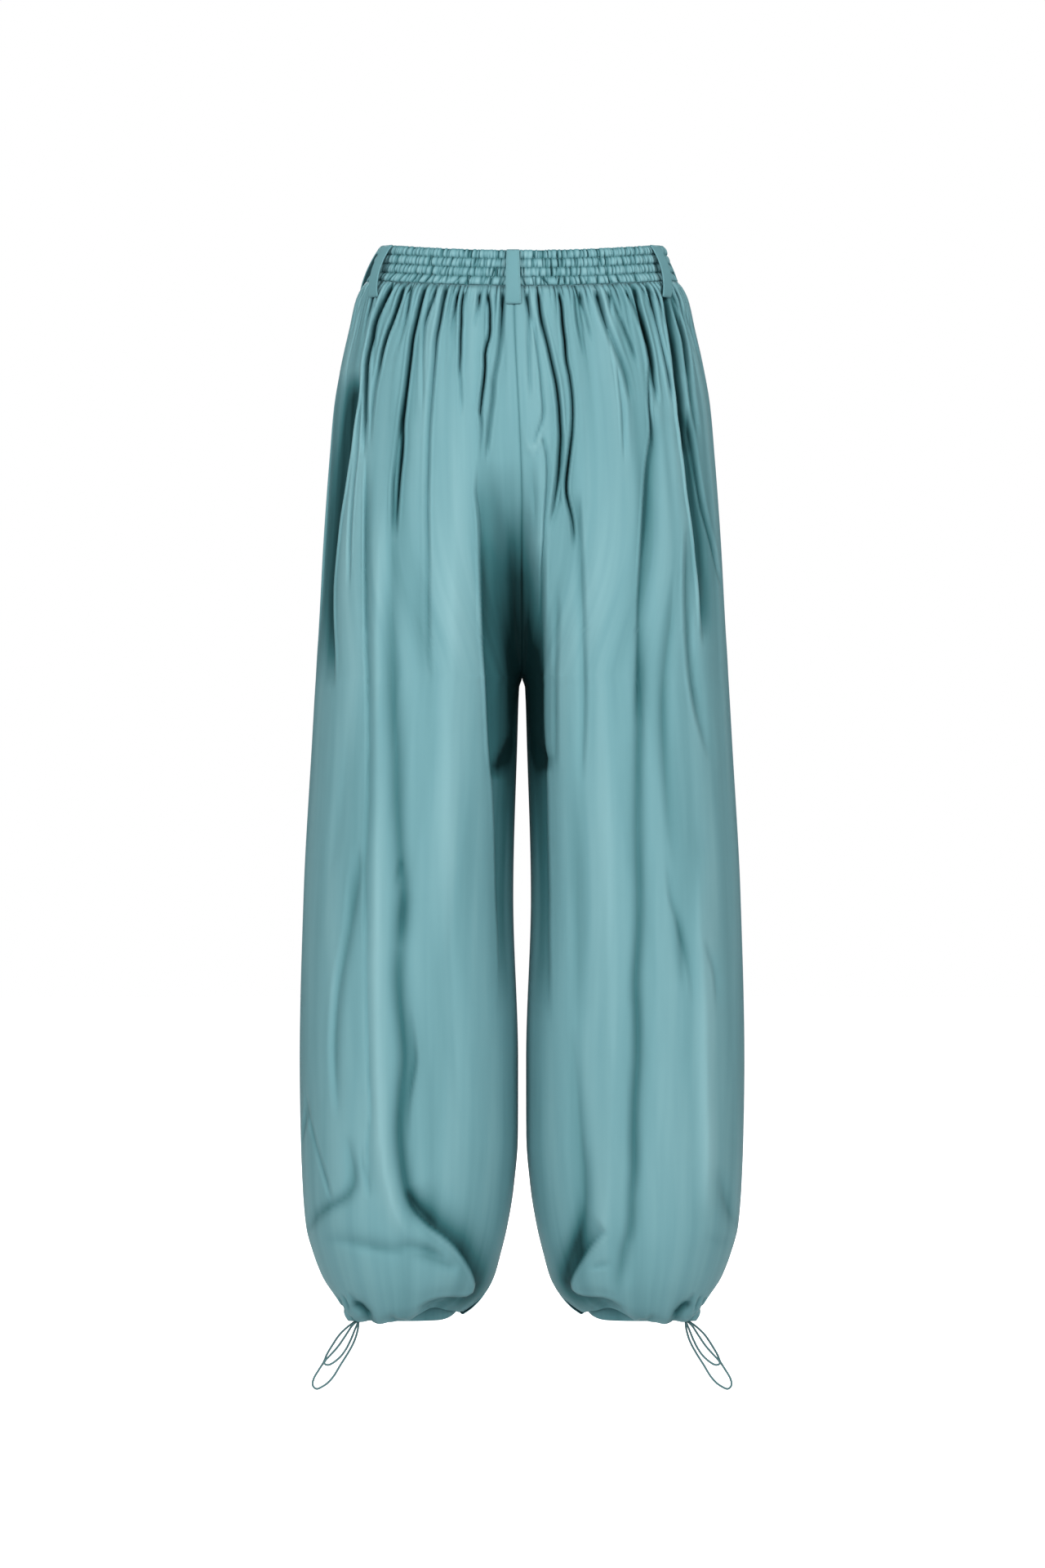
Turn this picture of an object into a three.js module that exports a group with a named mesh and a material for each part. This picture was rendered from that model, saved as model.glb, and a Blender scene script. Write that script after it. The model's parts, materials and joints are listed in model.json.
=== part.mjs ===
// Elastic waist pants, filled out as if worn, with nobody inside.
// Millimetres. +X is the wearer's right, +Y the wearer's front, +Z is up.
// The origin is the middle of the waist opening, at half the waistband's height.
import * as THREE from 'three';

// ---------------------------------------------------------------- driving sizes
const CLOTH = 1.3;              // wall of the leg cloth
const SEAM = 0.3;               // space left between two pieces at a seam
const BAND_CHANNELS = 4;
const BAND_WALL = 2.2;          // inside of the band to its rows of stitching
const BAND_GATHERS = 64;        // ruched folds of the band, all round
const CHANNEL_PUFF = 1.5;       // how far a channel stands out between two rows
const GATHER_RISE = 0.7;        // half the height of one ruched fold
const BACK_DIP = 9.5;           // the waist sinks this much at the centre back
const FRONT_DIP = 5;            // and this much at the centre front
const DIP_END = -150;           // below this height the levels are straight
const BACK_FORK = -196;         // where the back seam starts to turn under
const FRONT_FORK = -226;        // where the front seam starts to turn under
const CROTCH = -391;            // where the seams of the four panels meet
const LEG_TOP = -150;           // where the body starts to part into two legs
const LEG_ROUND = -500;         // where each leg has its own full round
const SEAM_PULL = 9;            // the higher, the nearer its seam the body follows it
const FULLNESS = 0.88;          // below 1, rounds are squarer than an ellipse
const CENTRE_SHIFT = -7.5;      // sideways place of the centre seams at the waist
const CENTRE_SHIFT_END = -240;  // where they have come back to the middle
const HEM_LIFT = 13;            // the back hem cloth is caught up this much
const HEM_LIFT_AT = 0.66;       // share of the way round where it is caught up
const HEM_LIFT_SPREAD = 0.13;
const CASING_HEIGHT = 11.7;     // tunnel of the ankle cord
const CASING_WALL = 2.2;
const CASING_GATHERS = 14;
const CASING_RISE = 1.2;
const CASING_INSET = 1;         // it stands this far inside the turned-up hem
const CASING_FRONT_DROP = 3;    // the front of the tunnel hangs lower
const LOOP_WALL = 2;            // two layers of cloth in a belt loop
const CORD_DIAMETER = 2;
const CORD_SIDES = 8;
const CORD_STEP = 5;            // length of one straight piece of a cord
const FOLD_STEPS = 14;          // straight pieces in the line of one fold
const FOLD_START = 0.3;         // share of a gather's depth that shows at the seam
const FOLD_GROWTH = 9;          // how fast the depth grows from there
const SHARE_END = 1.2;          // a place is sought from the side seam to past the middle
const SHARE_TURNS = 24;         // in this many halvings
const RELAX = 260;              // columns are even again this far below a gather
const MITRE = 0.6;              // the wall's step at a sharp fold is at most 1 / this
const CLOTH_ROUGHNESS = 0.45;
const CORD_ROUGHNESS = 0.6;

const COLOURS = { cloth: 0x8ebac0, band: 0x88b4bb, loop: 0x93bfc5, cord: 0x5f8f94 };

// A table is a list of rows, each read by its column names.
function table(columns, rows) {
  const names = columns.split(' ');
  return rows.map((row) => Object.fromEntries(names.map((name, k) => [name, row[k]])));
}

// Levels of the body from the waist seam down to the hem: half width at the
// outseam, half the gap between the legs, depth behind and before the side seam,
// and how much of the hem's lift reaches the level.
const LEVELS = table('z outer gap back front lift', [
  [-17.15, 147.5, 0.15, 95, 95, 0],
  [-23, 151.5, 0.15, 100, 99, 0],
  [-36, 157.5, 0.15, 104.5, 101.5, 0],
  [-60, 163, 0.15, 110, 104, 0],
  [-95, 171, 0.15, 116, 107, 0],
  [-135, 178, 0.15, 121, 109, 0],
  [-180, 182, 0.15, 124, 111, 0],
  [-225, 185.5, 0.15, 125, 112, 0],
  [-270, 188.5, 0.15, 125, 112, 0],
  [-345, 192.5, 0.15, 123, 112, 0],
  [-372, 194.2, 0.15, 122, 111, 0],
  [CROTCH, 195.2, 0.5, 121, 111, 0],
  [-401, 195.8, 3.3, 121, 111, 0],
  [-450, 198.6, 5, 119, 110, 0],
  [-600, 206.8, 8.9, 117, 109, 0],
  [-755, 210.4, 4.3, 118, 111, 0],
  [-825, 209.5, 4.4, 117, 110, 0],
  [-875, 207.6, 8.4, 115, 108, 0],
  [-911, 204.5, 14.3, 112, 104, 0],
  [-937, 197.5, 20.5, 107, 99, 0],
  [-960, 188.5, 27, 100, 93, 0.1],
  [-978, 178.5, 37, 90, 85, 0.35],
  [-990, 169.5, 48, 78, 75, 0.75],
  [-995.5, 163, 56, 66, 65, 1],
  [-986, 160.5, 60.5, 56.5, 56.5, 0.1],
]);
const HEM = LEVELS[LEVELS.length - 1];

// Heights through the waistband at its rows of stitching, with its half sizes.
const BAND_LEVELS = table('z outer depth', [
  [17, 134.5, 88.5],
  [8.5, 137.3, 90.5],
  [0, 139.6, 92],
  [-8.5, 142.2, 93],
  [-16.85, 147.5, 95],
]);

// Gathers that fall from the waist seam, from the side seam to the centre:
// distance from the middle at the top and the foot, height of the foot, sideways
// bow at half length, depth and half width.
const GATHERS = {
  back_left: table('top foot reach bow depth width', [
    [139.6, 157.9, -89, 2, 2.5, 4],
    [124.4, 147.3, -165, 8, 7, 5],
    [112.2, 134.3, -104, 0, 6.5, 5],
    [103.9, 106.2, -45, 0, 4, 3.5],
    [91.7, 115.3, -218, 3, 8, 4.5],
    [81.8, 90.9, -59, 0, 5, 4],
    [71.9, 81.8, -104, 0, 7, 4],
    [62.8, 64.3, -42, 0, 3.5, 3],
    [54.5, 58.2, -108, 0, 7, 4],
    [41.1, 40.7, -40, 0, 3, 4],
    [30.1, 38.4, -154, 0, 8, 4.5],
    [18.6, 21.7, -85, 0, 5, 4],
  ]),
  back_right: table('top foot reach bow depth width', [
    [139.6, 162.5, -158, 0, 5, 4.5],
    [131, 168.5, -371, 2, 9, 6],
    [117, 124, -45, 0, 6, 4],
    [105.4, 126.7, -135, 3, 8, 5],
    [96, 101.6, -40, 0, 4, 3.5],
    [82.6, 104.6, -97, 2, 4, 4],
    [69.6, 91.7, -108, 0, 5, 5],
    [57.5, 62.8, -66, 0, 3.5, 4],
    [48, 56.7, -89, 0, 3.5, 4],
    [34.6, 46.8, -173, 1, 8, 4.5],
    [16.7, 35.4, -188, 4, 8, 5],
    [5.7, 7.2, -59, 0, 4, 4.5],
  ]),
  front_left: table('top foot reach bow depth width', [
    [138, 160, -140, 2, 4, 4.5],
    [127, 150, -210, 4, 7, 5],
    [114, 120, -50, 0, 4, 4],
    [103, 123, -125, 2, 7, 5],
    [92, 97, -60, 0, 4, 4],
    [80, 97, -190, 3, 7.5, 4.5],
    [69, 73, -48, 0, 3.5, 4],
    [58, 66, -112, 0, 6.5, 4.5],
    [46, 48, -55, 0, 4, 4],
    [34, 45, -172, 3, 7.5, 4.5],
    [22, 26, -95, 0, 5, 4],
    [10, 12, -60, 0, 3.5, 4],
  ]),
  front_right: table('top foot reach bow depth width', [
    [137, 158, -118, 1, 4, 4.5],
    [125, 135, -62, 0, 4.5, 4],
    [113, 138, -232, 4, 7.5, 5],
    [101, 108, -58, 0, 4, 4],
    [90, 106, -138, 2, 7, 4.5],
    [78, 84, -72, 0, 4.5, 4],
    [66, 80, -184, 3, 7.5, 4.5],
    [55, 58, -46, 0, 3.5, 4],
    [44, 52, -126, 0, 6.5, 4.5],
    [32, 36, -64, 0, 4, 4],
    [20, 30, -160, 3, 7, 4.5],
    [9, 11, -70, 0, 4, 4],
  ]),
};

// Creases further down, each from one place to another, as distance from the
// middle and height. Bow is outward at half length, a depth below 0 is a ridge.
const CREASES = {
  back_left: table('x z toX toZ bow depth width', [
    [152.6, -106, 179.2, -397, 5, 9, 9],
    [147, -249, 143, -873, 0, 3, 7],
    [134.3, -218, 127, -827, 4, -5, 15],
    [123, -249, 108.4, -607, -3, 5, 13],
    [118, -630, 113.8, -835, -7, 7, 13],
    [113.8, -820, 41, -961, 16, 10, 13],
    [39, -221, 27, -751, 0, -4, 12],
    [60, -218, 60, -620, 0, -4, 24],
    [186, -919, 59, -944, 3, 2.5, 9],
    [164, -835, 195, -903, -18, 5, 11],
    [159.4, -576, 173, -782, 3, 3.5, 10],
  ]),
  back_right: table('x z toX toZ bow depth width', [
    [56, -218, 55, -508, 4, 3.5, 8],
    [73, -218, 73, -751, 0, -5, 18],
    [114.5, -188, 103, -431, 0, 3, 8],
    [103.9, -410, 105.4, -760, 0, 6, 10],
    [105.4, -740, 89.4, -958, 3, 6, 11],
    [137.4, -295, 139, -561, -5, 4, 9],
    [153.3, -249, 174, -462, -7, 3, 7],
    [160, -447, 168, -858, 0, -4, 18],
    [20, -218, 22, -553, 0, -3, 10],
    [43.8, -200, 46.8, -340, 0, 5, 9],
    [82, -905, 50, -968, -14, 6, 9],
    [55, -800, 48, -926, 0, 5, 16],
  ]),
  front_left: table('x z toX toZ bow depth width', [
    [158, -150, 181, -430, 4, 7, 9],
    [128, -240, 122, -820, 4, -5, 17],
    [112, -230, 104, -640, -3, 5, 12],
    [106, -650, 96, -900, -5, 6, 13],
    [60, -250, 56, -760, 2, -4, 20],
    [40, -260, 38, -560, 0, 3.5, 9],
    [170, -560, 176, -800, 3, 4, 11],
    [92, -880, 48, -965, 12, 7, 12],
  ]),
  front_right: table('x z toX toZ bow depth width', [
    [161, -170, 180, -400, 4, 6, 9],
    [140, -260, 144, -780, 3, -5, 18],
    [118, -250, 121, -600, -3, 5, 11],
    [122, -620, 108, -930, 4, 6, 12],
    [74, -240, 70, -700, 0, -5, 20],
    [52, -240, 54, -520, 3, 4, 9],
    [50, -760, 46, -930, 0, 5, 14],
    [176, -620, 180, -840, 2, 4, 10],
  ]),
};

// Belt loops: where they leave the band's top and where they are sewn to the
// body, as distance from the middle, and the width at each end. Seat is how far
// the top end lies off the band's edge, bow how far the loop stands out between.
const LOOPS = table('name side face top topWidth seat footX footZ footWidth bow', [
  ['belt_loop_back_centre', -1, 'back', 8.3, 12.2, 2.4, 8, -35, 15, 4.8],
  ['belt_loop_back_left', -1, 'back', 123, 12.5, 2.1, 138, -32, 13, 6.9],
  ['belt_loop_back_right', 1, 'back', 122, 12.5, 1.6, 137, -32, 13, 6.9],
  ['belt_loop_front_left', -1, 'front', 131, 12.5, 1.6, 151, -36, 13, 5.4],
  ['belt_loop_front_right', 1, 'front', 128, 12.5, 1.6, 147, -36, 13, 5.4],
]);
const LOOP_STEPS = 8;
const LOOP_ROUND = 0.7;         // below 1, a loop stands out sooner at its ends
const LOOP_FOOT = 0.6;          // its foot lies this far off the smooth body

// Routes of the left ankle's cord loops; the right ones are their mirror image.
const CORD_ROUTES = {
  long: [
    [-156.9, -9.5, -998.5], [-158, -9.8, -1001.4], [-165, -11, -1006.5],
    [-173.3, -12, -1014.5], [-181.2, -13, -1026.3], [-185.3, -13.5, -1033.5],
    [-187.8, -13.5, -1039.7], [-192.3, -13.5, -1046.9], [-197, -13.5, -1054.8],
    [-198.4, -13.5, -1061.5], [-194.8, -13.5, -1065.3], [-189, -13.5, -1063],
    [-183.5, -14, -1059], [-178, -14.5, -1052.5], [-172, -15.5, -1042.5],
    [-164.5, -17, -1030.5], [-159, -18.5, -1020], [-155.8, -20, -1010],
    [-154.8, -20.5, -1003], [-154.8, -20.5, -998.1],
  ],
  short: [
    [-156.3, -13, -998.4], [-157.1, -13.3, -1001.4], [-161.5, -14.5, -1006],
    [-166.5, -16, -1013.6], [-174, -17, -1024.5], [-181.5, -17.3, -1033],
    [-186, -17.3, -1037.8], [-187.2, -17.3, -1041], [-183.5, -17.3, -1042.3],
    [-178.5, -17.3, -1040], [-172, -17.3, -1034.5], [-166.5, -17.3, -1027],
    [-162, -17.2, -1018], [-158.3, -17, -1008.9], [-155.7, -17, -1002.5],
    [-155.6, -17, -998.1],
  ],
};

// ---------------------------------------------------------------- small helpers
const lerp = THREE.MathUtils.lerp;
const clamp = THREE.MathUtils.clamp;
const vector = (x, y, z) => new THREE.Vector3(x, y, z);
const power = (value) => Math.sign(value) * Math.abs(value) ** FULLNESS;

// Values of a level at any height, between the two levels that hold it.
function levelAt(z) {
  const below = LEVELS.findIndex((level) => level.z <= z);
  if (below <= 0) {
    return LEVELS[0];
  }
  const [upper, lower] = [LEVELS[below - 1], LEVELS[below]];
  const part = (upper.z - z) / (upper.z - lower.z);
  return Object.fromEntries(Object.keys(upper).map((key) => [key, lerp(upper[key], lower[key], part)]));
}

// Share of the leg's own round in a point of the body: 0 on the hip, 1 on the leg.
// The centre seam turns under along a quarter of an ellipse, the rest more softly.
function legShare(z, face, share) {
  const fork = face === 'back' ? BACK_FORK : FRONT_FORK;
  const part = clamp((fork - z) / (fork - CROTCH), 0, 1);
  const seam = 1 - Math.sqrt(1 - part * part);
  const body = THREE.MathUtils.smoothstep(-z, -LEG_TOP, -LEG_ROUND);
  return lerp(body, seam, Math.min(share, 1) ** SEAM_PULL);
}

// How far the waist dips at a share of the way from the side to the centre.
function dip(face, share) {
  const depth = face === 'back' ? BACK_DIP : FRONT_DIP;
  return depth * Math.sin(share * Math.PI / 2) ** 2;
}

// A point of the smooth body on the wearer's right: share 0 is the side seam,
// 1 the centre seam or the inseam.
function basePoint(level, face, share) {
  const depth = face === 'back' ? -level.back : level.front;
  const quarter = share * Math.PI / 2;
  const half = Math.min(share, 1) * Math.PI;
  const middle = (level.outer + level.gap) / 2;
  const reach = (level.outer - level.gap) / 2;
  const leg = legShare(level.z, face, share);
  const x = lerp(level.outer * power(Math.cos(quarter)), middle + reach * power(Math.cos(half)), leg);
  const y = lerp(depth * power(Math.sin(quarter)), depth * power(Math.sin(half)), leg);
  const straight = THREE.MathUtils.smoothstep(level.z, DIP_END, LEVELS[0].z);
  const caught = face === 'back' ? Math.exp(-(((share - HEM_LIFT_AT) / HEM_LIFT_SPREAD) ** 2)) : 0;
  return vector(x, y, level.z - dip(face, share) * straight + HEM_LIFT * caught * level.lift);
}

// The share at which the smooth body is at distance x from the middle.
function shareAt(level, face, x) {
  let [low, high] = [0, SHARE_END];
  for (let turn = 0; turn < SHARE_TURNS; turn += 1) {
    const middle = (low + high) / 2;
    if (basePoint(level, face, middle).x > x) {
      low = middle;
    } else {
      high = middle;
    }
  }
  return low;
}

// Sideways place of the centre seams, which lie a little to the wearer's left.
function centreSeam(z) {
  return CENTRE_SHIFT * THREE.MathUtils.smoothstep(z, CENTRE_SHIFT_END, LEVELS[0].z);
}

// A closed solid through sections, each a ring of as many points. The first and
// the last section are capped, or joined to each other.
function solidThrough(sections, joined, split) {
  const count = sections[0].length;
  const positions = sections.flat().flatMap((point) => [point.x, point.y, point.z]);
  const index = [];
  const quad = (a, b, c, d) => index.push(a, b, c, a, c, d);
  const bands = joined ? sections.length : sections.length - 1;
  for (let row = 0; row < bands; row += 1) {
    const next = (row + 1) % sections.length;
    for (let k = 0; k < count; k += 1) {
      const after = (k + 1) % count;
      quad(row * count + k, row * count + after, next * count + after, next * count + k);
    }
  }
  if (!joined) {
    const last = (sections.length - 1) * count;
    for (let k = 0; k < split - 1; k += 1) {
      const across = count - 1 - k;
      quad(k, across, across - 1, k + 1);
      quad(last + k, last + k + 1, last + across - 1, last + across);
    }
  }
  return outward(positions, index);
}

// The geometry with its faces turned out, found from the sign of its volume.
function outward(positions, index) {
  const corner = (k) => vector(...positions.slice(3 * index[k], 3 * index[k] + 3));
  let volume = 0;
  for (let k = 0; k < index.length; k += 3) {
    volume += corner(k).dot(corner(k + 1).cross(corner(k + 2)));
  }
  const geometry = new THREE.BufferGeometry();
  geometry.setAttribute('position', new THREE.Float32BufferAttribute(positions, 3));
  geometry.setIndex(volume < 0 ? index.reverse() : index);
  geometry.computeVertexNormals();
  return geometry;
}

function piece(name, geometry, colour, roughness) {
  const material = new THREE.MeshStandardMaterial({ color: colour, roughness, metalness: 0 });
  const mesh = new THREE.Mesh(geometry, material);
  mesh.name = name;
  return mesh;
}

// ---------------------------------------------------------------- leg panels
// Unit normals of a grid of points, and how much longer than the wall the step
// along each must be to keep the wall's thickness beside a fold.
function gridNormals(grid) {
  const faces = grid.slice(1).map((row, i) => row.slice(1).map((point, j) => {
    const one = point.clone().sub(grid[i][j]);
    return one.cross(row[j].clone().sub(grid[i][j + 1])).normalize();
  }));
  return grid.map((row, i) => row.map((point, j) => {
    const around = [[i - 1, j - 1], [i - 1, j], [i, j - 1], [i, j]]
      .filter(([r, c]) => faces[r] && faces[r][c])
      .map(([r, c]) => faces[r][c]);
    const normal = around.reduce((sum, face) => sum.add(face), vector(0, 0, 0)).normalize();
    const least = Math.min(...around.map((face) => face.dot(normal)));
    return { normal, stretch: 1 / Math.max(least, MITRE) };
  }));
}

// The line of a fold on the smooth body, as points with the run from 0 to 1.
function foldLine(face, fold) {
  const from = new THREE.Vector2(fold.x, fold.z);
  const to = new THREE.Vector2(fold.toX, fold.toZ);
  const along = to.clone().sub(from).normalize();
  const sideways = new THREE.Vector2(-along.y, along.x);
  return Array.from({ length: FOLD_STEPS + 1 }, (_, k) => {
    const run = k / FOLD_STEPS;
    const place = from.clone().lerp(to, run).addScaledVector(sideways, fold.bow * 4 * run * (1 - run));
    const level = levelAt(place.y);
    const share = shareAt(level, face, Math.max(place.x, level.gap + 1));
    return { run, point: basePoint(level, face, share) };
  });
}

// A gather as a crease that starts at the waist seam.
const gatherCrease = (gather) => ({
  x: gather.top, z: LEVELS[0].z, toX: gather.foot, toZ: gather.reach, ...gather,
});

// A gather starts shallow at the seam and fades at its foot; a crease fades at
// both ends.
const gatherFade = (run) => Math.min(1, FOLD_START + FOLD_GROWTH * run) * (1 - run * run);
const creaseFade = (run) => Math.sqrt(4 * run * (1 - run));

// How deep the folds are at a point: each is a soft trough along its line.
function foldDepth(lines, point) {
  return lines.reduce((total, { fold, line, fade }) => {
    let nearest = { distance: Infinity, run: 0 };
    line.slice(1).forEach((end, k) => {
      const start = line[k];
      const closest = new THREE.Line3(start.point, end.point);
      const part = closest.closestPointToPointParameter(point, true);
      const distance = closest.at(part, vector(0, 0, 0)).distanceTo(point);
      if (distance < nearest.distance) {
        nearest = { distance, run: lerp(start.run, end.run, part) };
      }
    });
    return total + fold.depth * fade(nearest.run) * Math.exp(-((nearest.distance / fold.width) ** 2));
  }, 0);
}

// Shares of the columns at a level: the side seam, each gather and each crest
// between two, and the centre seam. Below its foot a gather's column goes back
// to an even place.
function columnShares(level, face, gathers, end) {
  const even = (k) => end * k / (2 * gathers.length + 2);
  const valleys = gathers.map((gather, k) => {
    const run = clamp((LEVELS[0].z - level.z) / (LEVELS[0].z - gather.reach), 0, 1);
    const x = lerp(gather.top, gather.foot, run) + gather.bow * 4 * run * (1 - run);
    const own = shareAt(level, face, x);
    return lerp(own, even(2 * k + 2), THREE.MathUtils.smoothstep(gather.reach - level.z, 0, RELAX));
  });
  const marks = [0, ...valleys, end];
  return marks.flatMap((mark, k) => (k ? [(marks[k - 1] + mark) / 2, mark] : [mark]));
}

// One leg panel: back or front, left (side -1) or right (side 1).
function panel(name, side, face) {
  const gathers = GATHERS[name];
  const lines = [
    ...gathers.map((gather) => ({ fold: gatherCrease(gather), fade: gatherFade })),
    ...CREASES[name].map((fold) => ({ fold, fade: creaseFade })),
  ].map((entry) => ({ ...entry, line: foldLine(face, entry.fold) }));
  const away = face === 'back' ? -1 : 1;
  const smooth = LEVELS.map((level) => {
    const end = level.z > CROTCH ? shareAt(level, face, side * centreSeam(level.z)) : 1;
    return columnShares(level, face, gathers, end).map((share) => basePoint(level, face, share));
  });
  const last = smooth[0].length - 1;
  const normals = gridNormals(smooth);
  const turned = normals[5][5].normal.y * away > 0 ? 1 : -1;
  const outer = smooth.map((row, i) => row.map((point, j) => {
    const atSeam = Math.min(1, j / 2, (last - j) / 2);
    const depth = foldDepth(lines, point) * atSeam;
    return point.clone().addScaledVector(normals[i][j].normal, -turned * depth);
  }));
  const walls = gridNormals(outer);
  const inner = outer.map((row, i) => row.map((point, j) => {
    const { normal, stretch } = walls[i][j];
    return point.clone().addScaledVector(normal, -turned * CLOTH * stretch);
  }));
  [outer, inner].forEach((grid) => grid.forEach((row, i) => keepAtSeams(row, LEVELS[i], side, away)));
  const mirrored = (point) => vector(side * point.x, point.y, point.z);
  const sections = outer.map((row, i) => [...row, ...[...inner[i]].reverse()].map(mirrored));
  return piece(name, solidThrough(sections, false, last + 1), COLOURS.cloth, CLOTH_ROUGHNESS);
}

// Keeps a row's ends on its own side of the side seam, and of the centre seam or
// the inseam, half the seam's space away.
function keepAtSeams(row, level, side, away) {
  const half = SEAM / 2;
  const end = row[row.length - 1];
  row[0].y = away * half;
  row.forEach((point) => {
    point.y = away * Math.max(away * point.y, half);
  });
  if (level.z > CROTCH) {
    const seam = side * centreSeam(level.z) + half;
    end.x = Math.max(end.x, seam);
    row.forEach((point) => {
      point.x = Math.max(point.x, seam);
    });
  }
}

// ---------------------------------------------------------------- waistband
// A point of the waistband at an angle round it, its distance out included.
function bandPoint(level, angle, out) {
  const share = Math.asin(Math.abs(Math.sin(angle))) / (Math.PI / 2);
  const face = Math.sin(angle) < 0 ? 'back' : 'front';
  const x = (level.outer + out) * power(Math.cos(angle));
  const y = (level.depth + out) * power(Math.sin(angle));
  return vector(x, y, level.z - dip(face, share));
}

// The band is one ring: puffed channels between rows of stitching outside, and a
// plain wall inside. Every second column is the bottom of a ruched fold.
function waistband() {
  const columns = Array.from({ length: 2 * BAND_GATHERS }, (_, k) => {
    const angle = k * Math.PI / BAND_GATHERS;
    const ripple = k % 2 ? GATHER_RISE : -GATHER_RISE;
    const outside = BAND_LEVELS.flatMap((level, row) => {
      const own = bandPoint(level, angle, row % BAND_CHANNELS ? ripple / 2 : 0);
      if (row === BAND_LEVELS.length - 1) {
        return [own];
      }
      const next = bandPoint(BAND_LEVELS[row + 1], angle, 0);
      const between = bandPoint(level, angle, CHANNEL_PUFF + ripple).lerp(
        bandPoint(BAND_LEVELS[row + 1], angle, CHANNEL_PUFF + ripple), 0.5);
      between.z = (own.z + next.z) / 2;
      return [own, between];
    });
    const inside = [BAND_LEVELS[BAND_LEVELS.length - 1], BAND_LEVELS[2], BAND_LEVELS[0]]
      .map((level) => bandPoint(level, angle, -BAND_WALL));
    return [...outside, ...inside];
  });
  return piece('waistband', solidThrough(columns, true), COLOURS.band, CLOTH_ROUGHNESS);
}

// A belt loop: a flat strip from the top of the band to the body below it, bowed
// out so that a belt goes between the two.
function beltLoop(loop) {
  const away = loop.face === 'back' ? -1 : 1;
  const top = BAND_LEVELS[0];
  const angle = away * Math.acos((loop.top / top.outer) ** (1 / FULLNESS));
  const start = bandPoint({ ...top, z: top.z - SEAM }, angle, loop.seat + LOOP_WALL / 2);
  const level = levelAt(loop.footZ);
  const bare = basePoint(level, loop.face, shareAt(level, loop.face, loop.footX));
  const out = vector(start.x / top.outer ** 2, start.y / top.depth ** 2, 0).normalize();
  const end = bare.clone().addScaledVector(out, LOOP_FOOT + LOOP_WALL / 2);
  const across = vector(-out.y, out.x, 0);
  const centre = (part) => start.clone().lerp(end, part)
    .addScaledVector(out, loop.bow * Math.sin(Math.PI * part) ** LOOP_ROUND);
  const near = 1 / (2 * LOOP_STEPS);
  const sections = Array.from({ length: LOOP_STEPS + 1 }, (_, k) => {
    const part = k / LOOP_STEPS;
    const before = centre(Math.max(part - near, 0));
    const ahead = centre(Math.min(part + near, 1)).sub(before).normalize();
    const thick = across.clone().cross(ahead).normalize().multiplyScalar(LOOP_WALL / 2);
    const wide = across.clone().multiplyScalar(lerp(loop.topWidth, loop.footWidth, part) / 2);
    return [[1, 1], [-1, 1], [-1, -1], [1, -1]].map(([w, t]) => (
      centre(part).addScaledVector(wide, w).addScaledVector(thick, t)));
  });
  sections.flat().forEach((point) => {
    point.x *= loop.side;
  });
  return piece(loop.name, solidThrough(sections, false, 2), COLOURS.loop, CLOTH_ROUGHNESS);
}

// ---------------------------------------------------------------- ankles
// The tunnel at an ankle: a gathered ring under the hem of the two panels.
function hemCasing(name, side) {
  const middle = (HEM.outer + HEM.gap) / 2;
  const reach = (HEM.outer - HEM.gap) / 2;
  const ring = (angle, out, z) => vector(
    side * (middle + (reach + out) * power(Math.cos(angle))),
    (HEM.back + out) * power(Math.sin(angle)), z);
  const columns = Array.from({ length: 2 * CASING_GATHERS }, (_, k) => {
    const angle = k * Math.PI / CASING_GATHERS;
    const ripple = k % 2 ? CASING_RISE : -CASING_RISE;
    const share = Math.acos(Math.cos(angle)) / Math.PI;
    const face = Math.sin(angle) < 0 ? 'back' : 'front';
    const top = basePoint(HEM, face, share).z - SEAM;
    const bottom = HEM.z - CASING_HEIGHT - CASING_FRONT_DROP * Math.max(Math.sin(angle), 0);
    const inside = -CASING_INSET - CASING_RISE - CASING_WALL;
    return [
      ring(angle, -CASING_INSET, top),
      ring(angle, -CASING_INSET - CASING_RISE + ripple, lerp(top, bottom, 0.5)),
      ring(angle, -CASING_INSET - CASING_RISE + ripple, bottom),
      ring(angle, inside, bottom),
      ring(angle, inside, top),
    ];
  });
  return piece(name, solidThrough(columns, true), COLOURS.cloth, CLOTH_ROUGHNESS);
}

// A cord loop that hangs out of a casing.
function cordLoop(name, route, side) {
  const curve = new THREE.CatmullRomCurve3(route.map(([x, y, z]) => vector(-side * x, y, z)));
  const section = new THREE.Shape();
  section.absarc(0, 0, CORD_DIAMETER / 2, 0, 2 * Math.PI);
  const steps = Math.round(curve.getLength() / CORD_STEP);
  const geometry = new THREE.ExtrudeGeometry(section, {
    extrudePath: curve, steps, curveSegments: CORD_SIDES / 2, bevelEnabled: false,
  });
  return piece(name, geometry, COLOURS.cord, CORD_ROUGHNESS);
}

// ---------------------------------------------------------------- the pants
const pants = new THREE.Group();
for (const face of ['back', 'front']) {
  pants.add(panel(`${face}_left`, -1, face));
  pants.add(panel(`${face}_right`, 1, face));
}
pants.add(waistband());
LOOPS.forEach((loop) => pants.add(beltLoop(loop)));
for (const [name, side] of [['left', -1], ['right', 1]]) {
  pants.add(hemCasing(`hem_casing_${name}`, side));
  pants.add(cordLoop(`cord_long_${name}`, CORD_ROUTES.long, side));
  pants.add(cordLoop(`cord_short_${name}`, CORD_ROUTES.short, side));
}

export default pants;
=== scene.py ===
# %% [markdown]
# # Elastic waist pants
# Wide satin pants with a ruched elastic waistband, five belt loops and hems drawn in by
# thin cords, filled out as if somebody wore them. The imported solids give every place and
# size. Each piece of cloth is a surface worked out with numpy on the form of its solid.

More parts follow.
